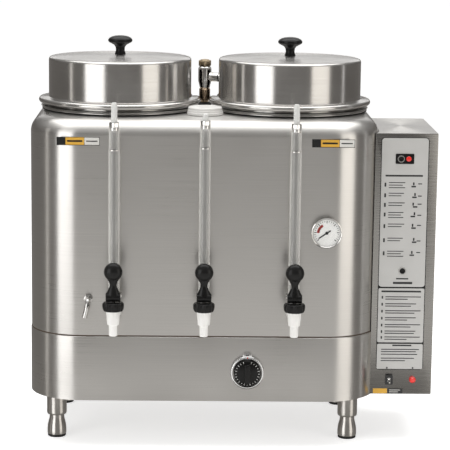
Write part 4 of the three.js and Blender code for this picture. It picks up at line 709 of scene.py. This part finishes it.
NUT_CROWN = ((0, 0), (9.6, 0), (8.8, 1.6), (4, 2.5), (0, 2.5))
STAIN_SCALE, RUB_SCALE = 30, 420


def polished(name, tone, gloss):
    """Plated or bare metal with a faint cloud and rub marks."""
    finish, tree, shader = material(name, metallic=1.0)
    place = own_place(tree)
    cloud = noise(tree, place, STAIN_SCALE, 4)
    rub = noise(tree, place, RUB_SCALE, 3)
    fed(tree, shader, mixed(tree, cloud, tuple(c * 0.86 for c in tone), tone),
        ramped(tree, cloud, 0.3, 0.75, gloss, gloss + 0.1), bumped(tree, rub, 0.05, 0.0002))
    return finish


def laid(bm, axis):
    """Turns a shape made along Z to lie along X or Y."""
    spin = Matrix.Rotation(pi / 2, 3, "Y") if axis == "X" else Matrix.Rotation(pi / 2, 3, "X")
    bmesh.ops.rotate(bm, cent=(0, 0, 0), matrix=spin, verts=bm.verts)
    return bm


def hexagon(flats, height, edge=0.8):
    """A hexagonal nut with its corners eased, standing on the origin."""
    bm = bmesh.new()
    bmesh.ops.create_circle(bm, cap_ends=True, radius=flats / 2 / cos(pi / 6) * MM, segments=6)
    raised(bm, height * MM)
    return softened(bm, edge, 2)


chrome_bright = polished("chrome_bright", (0.80, 0.79, 0.77), 0.07)
chrome_warm = polished("chrome_warm", (0.62, 0.47, 0.33), 0.2)
brass_nut = polished("brass_nut", (0.62, 0.50, 0.34), 0.26)
at_post = (post.x, post.y, 0)
finished("post_riser", brought(turned(RISER_PROFILE, 48), at_post), "machine", chrome_warm,
         ("spray_riser",))
finished("post_foot_ring", brought(turned(FOOT_RING, 48), at_post), "machine", black_rubber)
arm = joined(turned(SWIVEL_PROFILE, 48), moved(laid(turned(ARM_PROFILE, 40), "X"), z=ARM_Z),
             moved(turned(ELBOW_PROFILE, 40), ARM_REACH, 0, ARM_Z - 21),
             moved(turned(HEAD_PROFILE, 64), ARM_REACH))
finished("spray_arm", brought(spun(arm, radians(ARM_HEADING)), at_post), "swivel_arm_body",
         chrome_bright, ("swivel_arm",))
cap_nut = spun(hexagon(NUT_FLATS, NUT_HEIGHT, 1.2), radians(NUT_TURN))
cap_nut = joined(moved(cap_nut, z=NUT_Z), moved(turned(NUT_CROWN, 40), z=NUT_Z + NUT_HEIGHT - 0.1))
finished("post_cap_nut", brought(cap_nut, at_post), "machine", brass_nut, ("riser_cap_nut",))

# Fill cap: a white moulded plug with a stepped rim closes the fill hole in the
# deck, in front of the post.
CAP_PROFILE = ((0, 630), (25, 630), (26, 631), (26, 644.4), (34.6, 644.4), (35.5, 645.2), (35.5, 649.4),
               (34.3, 650.4), (34.3, 653.4), (33.4, 654.2), (33.4, 658), (32.4, 659.4), (30.6, 659.9),
               (26, 659.9), (25, 659.2), (0, 659.2))
white_moulded = plastic("white_moulded", (0.74, 0.73, 0.70), (0.84, 0.83, 0.81), 0.3, coat=0.1)
finished("stepped_fill_cap", brought(turned(CAP_PROFILE, 96), (fill.x, fill.y, 0)), "fill_cap_body",
         white_moulded, ("fill_cap",))

# Tees: a chromed shank comes out of the jacket at each station, with a flange on
# the sheet, and a tee and a hexagonal collar on it for the sight gauge.
STATIONS = ("left", "center", "right")
SHANK_Z, TEE_OUT, COLLAR_Z = 274, 240, 306.2
JACKET_FACE = -215.0
TEE_PROFILE = ((0, 272.6), (7.6, 272.6), (9.5, 275), (9.5, 306), (0, 306))
shank_x = {name: middle(f"faucet_body_{name}").x for name in STATIONS}
row_y = body_middle.y
shank_steel = polished("shank_chrome", (0.66, 0.65, 0.63), 0.16)
for name in STATIONS:
    back = (row_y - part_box(f"faucet_shank_{name}")[1].y) / MM
    shank_profile = ((0, 265.4), (9, 265.4), (9, 219.6), (14.2, 219.4), (15, 218.6), (15, 216), (14.6, 215.4),
                     (9, 215.3), (9, back), (0, back))
    shank = moved(laid(turned(shank_profile, 48), "Y"), z=SHANK_Z)
    tee = moved(turned(TEE_PROFILE, 48), y=-TEE_OUT)
    collar = moved(hexagon(31, 7.6, 1.2), 0, -TEE_OUT, COLLAR_Z)
    brought(joined(shank, tee, collar), (shank_x[name], row_y, 0))
    finished(f"chromed_tee_{name}", shank, "machine", shank_steel, (f"faucet_shank_{name}",))

# Faucets: a white moulded body is pushed over the front end of each shank, and
# its tapered spout points down.
FAUCET_OUT = 275
SPOUT_PROFILE = ((5.6, 238.2), (7.2, 238.2), (7.8, 239), (8, 240.4), (8, 257.4), (8.8, 259.2), (11.2, 260.6),
                 (11.5, 263), (13.4, 284), (13.4, 286.6), (15, 287.4), (15, 298.6), (11, 298.6), (10, 297),
                 (10, 264), (5.6, 262), (5.6, 238.2))
SOCKET_PROFILE = ((9.4, -1), (11.4, -1), (11.6, 0), (11.6, 17.2), (11, 18), (9.4, 18), (9.4, -1))
at_faucet = {name: (shank_x[name], row_y - FAUCET_OUT * MM, 0) for name in STATIONS}
for name in STATIONS:
    socket = spun(moved(laid(turned(SOCKET_PROFILE, 48), "Y"), z=SHANK_Z), pi)
    bmesh.ops.recalc_face_normals(socket, faces=socket.faces)
    whole = brought(joined(turned(SPOUT_PROFILE, 56), socket), at_faucet[name])
    finished(f"moulded_faucet_{name}", whole, "machine", white_moulded,
             (f"faucet_body_{name}",))

# Bonnets: a black moulded ring with finger scallops screws down over the top of
# each faucet body.
BONNET_PROFILE = ((15.5, 287.2), (18, 287.2), (19.6, 289.6), (20.4, 293), (20.7, 298), (20.3, 301),
                  (19, 302.9), (16.8, 303.5), (3.8, 303.5), (3.8, 299.8), (15.5, 299.4), (15.5, 287.2))
SCALLOPS, SCALLOP_DEPTH = 16, 1.5
for name in STATIONS:
    bonnet = turned(BONNET_PROFILE, SCALLOPS * 6)
    for vert in bonnet.verts:
        out = vert.co.xy.length
        if out > 17 * MM and vert.co.z > 287.8 * MM:
            wave = 0.5 - 0.5 * cos(SCALLOPS * atan2(vert.co.y, vert.co.x))
            share = (out - SCALLOP_DEPTH * MM * wave) / out
            vert.co.x *= share
            vert.co.y *= share
    finished(f"moulded_bonnet_{name}", brought(bonnet, at_faucet[name]), "machine",
             black_moulded, (f"faucet_bonnet_{name}",), 50)

# Handles: a black moulded lever with a flattened ball on a slim neck; its barrel
# rocks on a pin through the bonnet and lifts the stem.
PIVOT_Z = 312.9
NECK_DEPTH, BALL_DEPTH = 0.621, 0.7
NECK_PROFILE = ((0, -2), (13.2, -2), (14, -0.4), (14, 1.6), (13.2, 4), (12.8, 7), (11.6, 11), (10.4, 13.6),
                (8.8, 17), (6.9, 20), (6.6, 23), (7, 27), (8.4, 30.6), (11, 33.6), (11, 36), (0, 36))
BALL_RADIUS, BALL_Z, BALL_STEPS = 17.8, 49, 28
BALL_PROFILE = ((0, BALL_Z - BALL_RADIUS),
                *((BALL_RADIUS * sin(k * pi / BALL_STEPS), BALL_Z - BALL_RADIUS * cos(k * pi / BALL_STEPS))
                  for k in range(1, BALL_STEPS)),
                (0, BALL_Z + BALL_RADIUS))
BARREL_PROFILE = ((0, -14), (7.9, -14), (8.7, -13.2), (8.7, 13.2), (7.9, 14), (0, 14))
for name in STATIONS:
    neck = turned(NECK_PROFILE, 56)
    bmesh.ops.scale(neck, vec=(1, NECK_DEPTH, 1), verts=neck.verts)
    ball = turned(BALL_PROFILE, 56)
    bmesh.ops.scale(ball, vec=(1, BALL_DEPTH, 1), verts=ball.verts)
    lever = joined(neck, ball, laid(turned(BARREL_PROFILE, 48), "X"))
    finished(f"ball_handle_{name}", moved(brought(lever, at_faucet[name]), z=PIVOT_Z), f"handle_{name}_body",
             black_moulded, (f"faucet_handle_{name}",), 40)

# Sight gauges: a glass tube inside a clear guard stands on each tee and ends in
# a slotted chrome nut with a milky vent.
GUARD_FOOT, GLASS_FOOT = 314.4, 306.4


def clear(name, tint, gloss, alpha_low, alpha_high):
    """Clear tube or glass, thicker to look through toward its edges."""
    finish, tree, shader = material(name, specular=0.6)
    film = noise(tree, stretched(tree, own_place(tree), (40, 40, 6)), 1.0, 3)
    rim = tree.nodes.new("ShaderNodeLayerWeight")
    rim.inputs["Blend"].default_value = 0.35
    tree.links.new(ramped(tree, film, 0.3, 0.7, gloss, gloss + 0.06), shader.inputs["Roughness"])
    tree.links.new(ramped(tree, rim.outputs["Facing"], 0.15, 0.95, alpha_low, alpha_high),
                   shader.inputs["Alpha"])
    tree.links.new(mixed(tree, film, tint, tuple(c * 0.93 for c in tint)), shader.inputs["Base Color"])
    return finish


guard_clear = clear("guard_clear", (0.78, 0.77, 0.74), 0.06, 0.10, 0.92)
glass_clear = clear("glass_clear", (0.72, 0.72, 0.70), 0.04, 0.08, 0.85)
vent_milky = plastic("vent_milky", (0.60, 0.60, 0.58), (0.74, 0.74, 0.72), 0.3)
for name in STATIONS:
    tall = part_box(f"gauge_guard_{name}")[1].z / MM
    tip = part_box(f"gauge_nut_{name}")[1].z / MM
    rod_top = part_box(f"gauge_glass_{name}")[1].z / MM
    here = (shank_x[name], row_y - TEE_OUT * MM, 0)
    guard = turned(((10.75, GUARD_FOOT), (10.75, tall - 43), (10.4, tall - 42), (9.9, tall - 41.4),
                    (9.9, tall - 0.1), (8.3, tall - 0.1), (8.3, tall - 41), (9.1, tall - 43.4),
                    (9.1, GUARD_FOOT), (10.75, GUARD_FOOT)), 48)
    finished(f"clear_guard_{name}", brought(guard, here), "machine", guard_clear,
             (f"gauge_guard_{name}",))
    glass = turned(((6, GLASS_FOOT), (6, rod_top), (4, rod_top), (4, GLASS_FOOT), (6, GLASS_FOOT)), 40)
    finished(f"glass_tube_{name}", brought(glass, here), "machine", glass_clear,
             (f"gauge_glass_{name}",))
    neck = turned(((0, tall - 6), (9.2, tall - 6), (9.4, tall - 5), (9.4, tall + 0.3), (0, tall + 0.3)), 40)
    cap = brought(joined(moved(hexagon(19, 9.6, 0.9), z=tall + 0.2), neck), here)
    finished(f"gauge_cap_{name}", cap, "machine", chrome_bright)
    ring = turned(((9, tall - 43.6), (10.9, tall - 43.6), (11, tall - 42.8), (10.9, tall - 42), (9, tall - 42),
                   (9, tall - 43.6)), 48)
    finished(f"gauge_ring_{name}", brought(ring, here), "machine", chrome_bright)
    vent = turned(((0, tall + 9.6), (6, tall + 9.6), (6, tip - 8), (4.6, tip - 1), (3.6, tip), (0, tip)), 40)
    finished(f"gauge_vent_{name}", brought(vent, here), "machine", vent_milky,
             (f"gauge_nut_{name}",))

# Thermometer: a white dial with a ring of ticks in a chromed case, threaded
# through the jacket into the water tank.
DIAL_Z = 431
CASE_PROFILE = ((0, -30), (3.5, -30), (3.5, -0.3), (28.4, 0.1), (29.6, 0.8), (30, 2), (30, 11), (29.6, 12.2),
                (28.4, 12.9), (27.6, 12.6), (26.6, 11.4), (26.5, 8.6), (0, 8.5))
FACE_PROFILE = ((0, 0), (26.4, 0), (26.4, 0.3), (0, 0.3))
GLASS_PROFILE = ((0, 0), (26.9, 0), (26.9, 0.5), (18, 1.1), (0, 1.5))
HUB_PROFILE = ((0, -0.2), (3, -0.2), (3, 1.1), (2.4, 1.5), (0, 1.5))
DIAL_DEPTH, GLASS_DEPTH, PRINT_DEPTH = 8.5, 11.2, 8.85
POINTER_ANGLE, POINTER_LENGTH = 214, 28
TICKS, TICKS_START, TICKS_SWEEP = 25, -40, 260
BAND_PATCHES, BAND_START, BAND_SWEEP = 20, 120, 57
dial = middle("thermometer_case")


def facing(bm, place):
    """Turns a shape made along Z to face the front, then puts it in place."""
    bmesh.ops.rotate(bm, cent=(0, 0, 0), matrix=Matrix.Rotation(pi / 2, 3, "X"), verts=bm.verts)
    return brought(bm, place)


def plate_of(width, height, thickness, corner, steps=4):
    """A flat plate with round corners, in millimetres."""
    bm = oblong(width * MM, height * MM, corner * MM, steps)
    raised(bm, thickness * MM)
    return bm


def ringed(count, start, sweep, mark):
    """A row of marks round a dial, each made by the mark function for its turn."""
    row = bmesh.new()
    for k in range(count):
        angle = radians(start + k * sweep / (count - 1))
        row = joined(row, spun(mark(k), angle - pi / 2))
    return row


def tick(k):
    """A tick on the dial, longer and thicker at every fourth."""
    if k % 4 == 0:
        return moved(plate_of(1.3, 5.0, 0.15, 0.1, 1), 0, 21.8, PRINT_DEPTH)
    return moved(plate_of(0.8, 3.0, 0.15, 0.1, 1), 0, 22.8, PRINT_DEPTH)


def band_patch(k):
    """A short piece of the coloured band inside the ticks."""
    return moved(plate_of(1.3, 5, 0.12, 0.05, 1), 0, 16.5, PRINT_DEPTH - 0.03)


dial_place = (dial.x, row_y + JACKET_FACE * MM, DIAL_Z * MM)
dial_chrome = polished("dial_chrome", (0.72, 0.71, 0.69), 0.1)
dial_paper = plastic("dial_paper", (0.80, 0.80, 0.78), (0.87, 0.87, 0.85), 0.45)
ink = plastic("black_ink", (0.008, 0.008, 0.008), (0.02, 0.02, 0.02), 0.5, specular=0.2)
red_paint = plastic("red_paint", (0.42, 0.02, 0.015), (0.55, 0.03, 0.02), 0.4)
dial_glass = clear("dial_glass", (0.75, 0.75, 0.75), 0.03, 0.02, 0.2)
finished("dial_case", facing(turned(CASE_PROFILE, 96), dial_place), "machine", dial_chrome,
         ("thermometer_case",))
finished("dial_face", facing(moved(turned(FACE_PROFILE, 96), z=DIAL_DEPTH), dial_place), "machine",
         dial_paper)
ticks = ringed(TICKS, TICKS_START, TICKS_SWEEP, tick)
finished("dial_ticks", facing(ticks, dial_place), "machine", ink)
pointer = joined(moved(plate_of(2.3, POINTER_LENGTH, 0.8, 0.8, 2), 0, 5), turned(HUB_PROFILE, 32))
spun(pointer, radians(POINTER_ANGLE - 90))
facing(pointer, (dial.x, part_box("thermometer_pointer")[1].y, DIAL_Z * MM))
finished("dial_pointer", pointer, "thermometer_pointer_body", ink, ("thermometer_pointer",))
finished("dial_glass", facing(moved(turned(GLASS_PROFILE, 96), z=GLASS_DEPTH), dial_place), "machine",
         dial_glass)
band = ringed(BAND_PATCHES, BAND_START, BAND_SWEEP, band_patch)
finished("dial_red_band", facing(band, dial_place), "machine", red_paint)

# Thermostat: a black moulded knob with an upright grip turns inside a fixed
# chromed ring on the skirt, and the control's body sits behind the sheet.
KNOB_Z = 154
RING_PROFILE = ((28.2, 0.3), (32.4, 0.3), (33, 1), (33, 6.4), (31.6, 8.6), (30.6, 9.2), (29, 9.2), (28.2, 8.2),
                (28.2, 0.3))
DISC_PROFILE = ((0, 2.7), (25.6, 2.7), (26.5, 3.6), (26.5, 9.4), (25.4, 11.4), (23, 12.6), (0, 12.6))
BODY_SIDE, BODY_DEPTH, BODY_MIDDLE = 50, 40, -23.5
LUG, LUG_UP = (17, 11, 8.2, 4.6, 6), 32.4
GRIP, GRIP_OUT = (11, 39, 12, 4.6, 6), 12.5
STUB_PROFILE = ((0, -6), (12, -6), (12, 2.2), (0, 2.2))
SHAFT_PROFILE = ((0, -10), (3, -10), (3, 3), (0, 3))
MARKS_START, MARKS_SWEEP, MARKS = 110, 320, 23
knob_place = (middle("thermostat_knob").x, skirt_low.y, KNOB_Z * MM)
lug = softened(moved(plate_of(*LUG), 0, LUG_UP, 0.4), 0.8, 2, 60)
tail = bmesh.new()
bmesh.ops.create_cube(tail, size=1)
bmesh.ops.scale(tail, vec=(BODY_SIDE * MM, BODY_SIDE * MM, BODY_DEPTH * MM), verts=tail.verts)
softened(moved(tail, z=BODY_MIDDLE), 2, 2)
ring = joined(turned(RING_PROFILE, 96), lug, tail, turned(STUB_PROFILE, 48))
ring_chrome = polished("ring_chrome", (0.84, 0.84, 0.84), 0.2)
finished("thermostat_ring", facing(ring, knob_place), "machine", ring_chrome, ("thermostat_body",))
# The black patch on the lug is painted shade standing in for the inside of a slot.
slot_shade_patch = moved(plate_of(6, 2.2, 0.25, 0.8, 3), 0, 35.3, 8.5)
finished("thermostat_slot_shade", facing(slot_shade_patch, knob_place), "machine", ink)
grip = softened(moved(plate_of(*GRIP), z=GRIP_OUT), 1.6, 3, 60)
knob = joined(turned(DISC_PROFILE, 96), grip, turned(SHAFT_PROFILE, 32))
finished("thermostat_grip", facing(knob, knob_place), "thermostat_knob_body",
         black_moulded, ("thermostat_knob",), 40)


def knob_mark(k):
    """A printed line on the knob, longer at every second."""
    return moved(plate_of(0.8, 2.6 if k % 2 else 3.8, 0.15, 0.1, 1), 0, 22.4, 12.62)


print_white = plastic("print_white", (0.62, 0.62, 0.60), (0.72, 0.72, 0.70), 0.5)
marks = ringed(MARKS, MARKS_START, MARKS_SWEEP, knob_mark)
finished("thermostat_marks", facing(marks, knob_place), "thermostat_knob_body", print_white)
index = moved(plate_of(2.2, 2.6, 0.3, 0.4, 2), 0, 30.2, 9.2)
finished("thermostat_index", facing(index, knob_place), "machine", red_paint)

# Water outlet: a bent chrome tube comes out of the jacket through a hexagonal
# nut and points down and a little to the left.
OUTLET_Z, OUTLET_FROM_RIGHT = 298, 8.66
OUTLET_RADIUS, OUTLET_WALL, NUT_FRONT = 5.4, 1.3, -8.3
OUTLET_POINTS = (((0, 18, 0), (0, 20, 0), (0, 6, 0)), ((0, -6, 0), (0, -2, 0), (0, -15, 0)),
                 ((-1.6, -20, -16), (0, -20, -6), (-3, -20, -22)),
                 ((-6, -20, -33.8), (-4.6, -20, -28), (-7, -20, -38)))


def tube(points, radius, wall):
    """A bent round tube along smooth curve points in millimetres."""
    path = bpy.data.curves.new("path", "CURVE")
    path.dimensions = "3D"
    path.bevel_depth = radius * MM
    path.bevel_resolution = 7
    path.resolution_u = 10
    spline = path.splines.new("BEZIER")
    spline.bezier_points.add(len(points) - 1)
    for knot, (at, back, ahead) in zip(spline.bezier_points, points):
        knot.co = tuple(c * MM for c in at)
        knot.handle_left = tuple(c * MM for c in back)
        knot.handle_right = tuple(c * MM for c in ahead)
    drawn = bpy.data.objects.new("path", path)
    bpy.context.collection.objects.link(drawn)
    bpy.context.view_layer.update()
    mesh = bpy.data.meshes.new_from_object(drawn.evaluated_get(bpy.context.evaluated_depsgraph_get()))
    bm = bmesh.new()
    bm.from_mesh(mesh)
    bpy.data.meshes.remove(mesh)
    bpy.data.objects.remove(drawn)
    bpy.data.curves.remove(path)
    return shelled(bm, wall)


spout = tube(OUTLET_POINTS, OUTLET_RADIUS, OUTLET_WALL)
outlet_nut = spun(laid(hexagon(15, 8), "X"), -pi / 2)
low_y = min(v.co.y for v in outlet_nut.verts)
bmesh.ops.translate(outlet_nut, vec=(0, NUT_FRONT * MM - low_y, 0), verts=outlet_nut.verts)
outlet_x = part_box("outlet_spout")[1].x - OUTLET_FROM_RIGHT * MM
whole = brought(joined(spout, outlet_nut), (outlet_x, row_y + JACKET_FACE * MM, OUTLET_Z * MM))
finished("bent_outlet", whole, "machine", shank_steel, ("outlet_spout",))

# Control box cover: a flat sheet of steel with turned edges closes the
# front of the folded case at the right of the body; its steel is a darker copy
# of the case's, painted shade for the front face.
cover_low, cover_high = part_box("control_cover")
cover_middle = (cover_low + cover_high) / 2
cover = oblong(cover_high.x - cover_low.x, cover_high.z - cover_low.z, 1.6 * MM, 4)
raised(cover, cover_high.y - cover_low.y)
softened(cover, 0.5, 2)
facing(cover, (cover_middle.x, cover_high.y, cover_middle.z))
# A darker copy of the case's steel: painted shade for the cover's front face.
shaded_cover_steel = brushed("shaded_cover_steel", (0.27, 0.262, 0.248), (0.37, 0.36, 0.343), 0.26, (6, 6, 1300), 0.6)
finished("folded_cover", cover, "machine", shaded_cover_steel, ("control_cover",))

# Overlay: a pale printed sheet with a dark round-cornered outline and plain grey
# bars in place of its wording is stuck on the cover.
OVERLAY_EDGES = (342.6, 436, 145.5, 609)
PAD_LEFT, PAD_RIGHT = 344, 434.6
PADS = ((313, 607.6, 6), (201, 310, 3), (147, 198, 3))
STEPS = (516, 495, 476, 457, 434, 406, 380)
NOTES = (292, 278, 264, 250, 236, 223, 211)
HEADINGS = ((352, 425, 532, 535.5), (378, 402, 328, 330.6), (372, 410, 318.6, 323), (350, 428, 302, 305.5),
            (374, 412, 193.4, 196.4), (363, 366, 147.6, 151), (414, 417, 147.6, 151))
FOOT_LINES = ((187, 427), (182.4, 421), (177, 424), (169, 418), (164, 400))


def sheet(x0, x1, z0, z1, out, thick, corner=0.4):
    """A thin stuck-on patch given by its edges in millimetres on the cover."""
    bm = plate_of(x1 - x0, z1 - z0, thick, corner, 5)
    return facing(bm, (body_middle.x + (x0 + x1) / 2 * MM, cover_low.y - out * MM, (z0 + z1) / 2 * MM))


def bar(x0, x1, z0, z1, corner=0.4):
    """A printed bar on top of the overlay."""
    return sheet(x0, x1, z0, z1, 0.5, 0.1, corner)


def printed(name, finish, patches):
    """Makes several patches of one colour a single piece."""
    return finished(name, joined(bmesh.new(), *patches), "machine", finish)


overlay_grey = plastic("overlay_grey", (0.46, 0.455, 0.44), (0.52, 0.515, 0.50), 0.45)
bar_grey = plastic("bar_grey", (0.03, 0.03, 0.03), (0.05, 0.05, 0.05), 0.45, specular=0.2)
printed("overlay_border", ink, [sheet(*OVERLAY_EDGES, 0.05, 0.25, 7)])
printed("overlay_sheet", overlay_grey,
        [sheet(PAD_LEFT, PAD_RIGHT, z0, z1, 0.25, 0.25, corner) for z0, z1, corner in PADS])
bars = [bar(*edges) for edges in HEADINGS]
for k, z in enumerate(STEPS):
    bars.append(bar(350.5, 354, z - 4, z + 4, 1))
    for row in range(2 if k % 3 else 3):
        end = 391 - 5 * (row % 2) - 2 * (k % 2)
        bars.append(bar(359, end, z + 3.4 - 5 * row, z + 5.0 - 5 * row, 0.3))
    across, up, drop = 2 * (k % 3), 3 * (k % 2), (k % 2) * 3
    bars.append(bar(403 + across, 412 + across, z - 5, z - 2, 0.8))
    bars.append(bar(406 + up, 409 + up, z - 1, z + 5, 0.8))
    bars.append(bar(416, 424, z + 1 - drop, z + 3 - drop, 0.8))
for k, z in enumerate(NOTES):
    bars.append(bar(350.5, 353.5, z - 3, z + 2.6, 0.8))
    bars.append(bar(358, 428 - 9 * (k % 2), z, z + 1.8, 0.3))
    bars.append(bar(358, 402 + 7 * (k % 3), z - 4.6, z - 2.8, 0.3))
bars += [bar(352, end, z - 1, z + 0.8, 0.3) for z, end in FOOT_LINES]
printed("overlay_bars", bar_grey, bars)

# Stickers: three small plain stickers of printed foil, with a dark, an ochre and
# a pale field and no wording, two high on the jacket and one low on the cover.
STICKER_LOW, STICKER_HIGH, STICKER_WIDTH = 595.6, 611.4, 82
FIELD_LOW, FIELD_HIGH, FIELD_OUT, FIELD_THICK = 596.6, 610.6, 0.25, 0.1
STICKERS = {"left": -283, "right": 204}
ochre = plastic("sticker_ochre", (0.62, 0.33, 0.035), (0.70, 0.40, 0.05), 0.4)
pale = plastic("sticker_pale", (0.62, 0.61, 0.57), (0.70, 0.69, 0.66), 0.4)


def jacket_patch(x0, x1, z0, z1, out=0.05, thick=0.2):
    """A thin stuck-on patch given by its edges in millimetres on the jacket."""
    bm = plate_of(x1 - x0, z1 - z0, thick, 0.8, 3)
    place = (body_middle.x + (x0 + x1) / 2 * MM, row_y + (JACKET_FACE - out) * MM, (z0 + z1) / 2 * MM)
    return facing(bm, place)


for side, x in STICKERS.items():
    field = (FIELD_LOW, FIELD_HIGH, FIELD_OUT, FIELD_THICK)
    printed(f"sticker_dark_{side}", ink,
            [jacket_patch(x, x + STICKER_WIDTH, STICKER_LOW, STICKER_HIGH)])
    printed(f"sticker_pale_{side}", pale, [jacket_patch(x + 53, x + 81.2, *field)])
    printed(f"sticker_ochre_{side}", ochre, [jacket_patch(x + 17, x + 52.4, *field)])
    printed(f"sticker_bars_{side}", ink,
            [jacket_patch(x + 20, x + 49, 602, 605.4, 0.36, 0.08),
             jacket_patch(x + 56, x + 78, 602.6, 604.6, 0.36, 0.08)])
printed("foot_sticker_ochre", ochre, [sheet(338, 366, 97, 107, 0.05, 0.2, 0.8)])
printed("foot_sticker_dark", bar_grey, [sheet(367, 396.6, 97, 107, 0.05, 0.2, 0.8)])
printed("foot_sticker_bars", pale,
        [sheet(370, 392, 103.4, 104.6, 0.25, 0.1, 0.3), sheet(370, 388, 99.6, 100.8, 0.25, 0.1, 0.3)])

# Switch plate: a black moulded plate with the brew button and a red lamp in it is
# let in near the top of the overlay.
PLATE_WIDTH, PLATE_HEIGHT, PLATE_THICK, LAMP_ASIDE = 36, 20, 1.4, 7.6
BREW_LENS = ((0, 0), (5, 0), (5, 1.4), (4.4, 2.1), (2.6, 2.6), (0, 2.7))


def on_cover(node):
    """The point of the cover's face in front of a CAD node's middle."""
    centre = middle(node)
    return (centre.x, cover_low.y, centre.z)


red_lamp, tree, shader = material("red_lamp", specular=0.6, coat=0.6, coat_roughness=0.04)
facets = noise(tree, own_place(tree), 700, 2)
tree.links.new(mixed(tree, facets, (0.50, 0.012, 0.010), (0.72, 0.03, 0.02)), shader.inputs["Base Color"])
tree.links.new(ramped(tree, facets, 0.3, 0.7, 0.12, 0.25), shader.inputs["Roughness"])
tree.links.new(mixed(tree, facets, (0.55, 0.01, 0.008), (0.8, 0.03, 0.02)), shader.inputs["Emission Color"])
shader.inputs["Emission Strength"].default_value = 0.25
switch = softened(plate_of(PLATE_WIDTH, PLATE_HEIGHT, PLATE_THICK, 1.6, 4), 0.3, 1, 60)
finished("switch_plate", facing(switch, on_cover("brew_switch_plate")), "machine",
         black_moulded)
lens = moved(turned(BREW_LENS, 40), LAMP_ASIDE, 0, PLATE_THICK)
finished("brew_lamp", facing(lens, on_cover("brew_switch_plate")), "machine", red_lamp,
         ("brew_switch_plate",))

# Buttons: a black moulded button with a hollowed end stands in a chromed ring nut,
# one in the switch plate for brewing and one below the printed steps for starting.
for name, radius, out in (("brew_button", 5.0, PLATE_THICK), ("start_button", 5.5, 0)):
    x, y, z = on_cover(name)
    stand = (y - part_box(name)[0].y) / MM
    button = turned(((0, -4), (radius, -4), (radius, stand - 1), (radius - 0.8, stand),
                     (radius - 1.8, stand - 0.1), (0, stand - 0.7)), 48)
    finished(f"domed_{name}", facing(button, (x, y, z)), f"{name}_body", black_moulded,
             (name,))
    nut_ring = turned(((radius + 0.3, 0), (radius + 2.2, 0), (radius + 2.4, 0.6), (radius + 1.8, 1.9),
                       (radius + 0.3, 1.9), (radius + 0.3, 0)), 48)
    finished(f"ring_{name}", facing(nut_ring, (x, y - out * MM, z)), "machine", shank_steel)

# Toggle switch: a dark plate and nut and a short chromed bush hold the switch in
# the cover, low on the left; its body and lever keep their CAD shape.
BUSH_PROFILE = ((3, 2), (4.4, 2), (4.4, 3.6), (4, 4), (3, 4), (3, 2))
SWITCH_WIDTH, SWITCH_HEIGHT, SWITCH_THICK = 15, 19, 2.2
toggle_plate = joined(plate_of(SWITCH_WIDTH, SWITCH_HEIGHT, SWITCH_THICK, 5, 6),
                      moved(hexagon(11, 1.6, 0.4), z=SWITCH_THICK))
finished("toggle_plate", facing(toggle_plate, on_cover("toggle_body")), "machine", bar_grey)
finished("toggle_bush", facing(turned(BUSH_PROFILE, 40), on_cover("toggle_body")), "machine",
         chrome_bright)

# Power lamp: a red lens with a flange is pushed into the cover beside the toggle
# switch.
lamp_x, lamp_y, lamp_z = on_cover("power_lamp")
lamp_out = (lamp_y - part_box("power_lamp")[0].y) / MM
lamp = turned(((0, -8), (5, -8), (5, 0), (6.5, 0.1), (6.5, 1.6), (5.6, 2.6), (5.2, lamp_out - 2),
               (3.6, lamp_out - 0.4), (0, lamp_out)), 48)
finished("power_lens", facing(lamp, (lamp_x, lamp_y, lamp_z)), "machine", red_lamp,
         ("power_lamp",))

# Everything else keeps its CAD shape: the case, the inlet, the switch lever and
# the parts hidden inside only take their own surface.
box_steel = brushed("box_steel", (0.50, 0.485, 0.46), (0.64, 0.625, 0.60), 0.28, (6, 6, 1300), 0.86)
hidden_steel = brushed("hidden_steel", (0.42, 0.41, 0.39), (0.60, 0.59, 0.57), 0.34, (7, 7, 1000))
inlet_brass = polished("inlet_brass", (0.66, 0.50, 0.27), 0.24)
KEPT = {"water_tank": hidden_steel, "heating_element": shank_steel, "control_case": box_steel,
        "inlet_valve": inlet_brass, "toggle_lever": chrome_bright, "toggle_body": bar_grey,
        **{f"faucet_stem_{name}": shank_steel for name in STATIONS}}
for node, finish in KEPT.items():
    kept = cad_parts[node]
    for slot in kept.material_slots:
        slot.material = finish
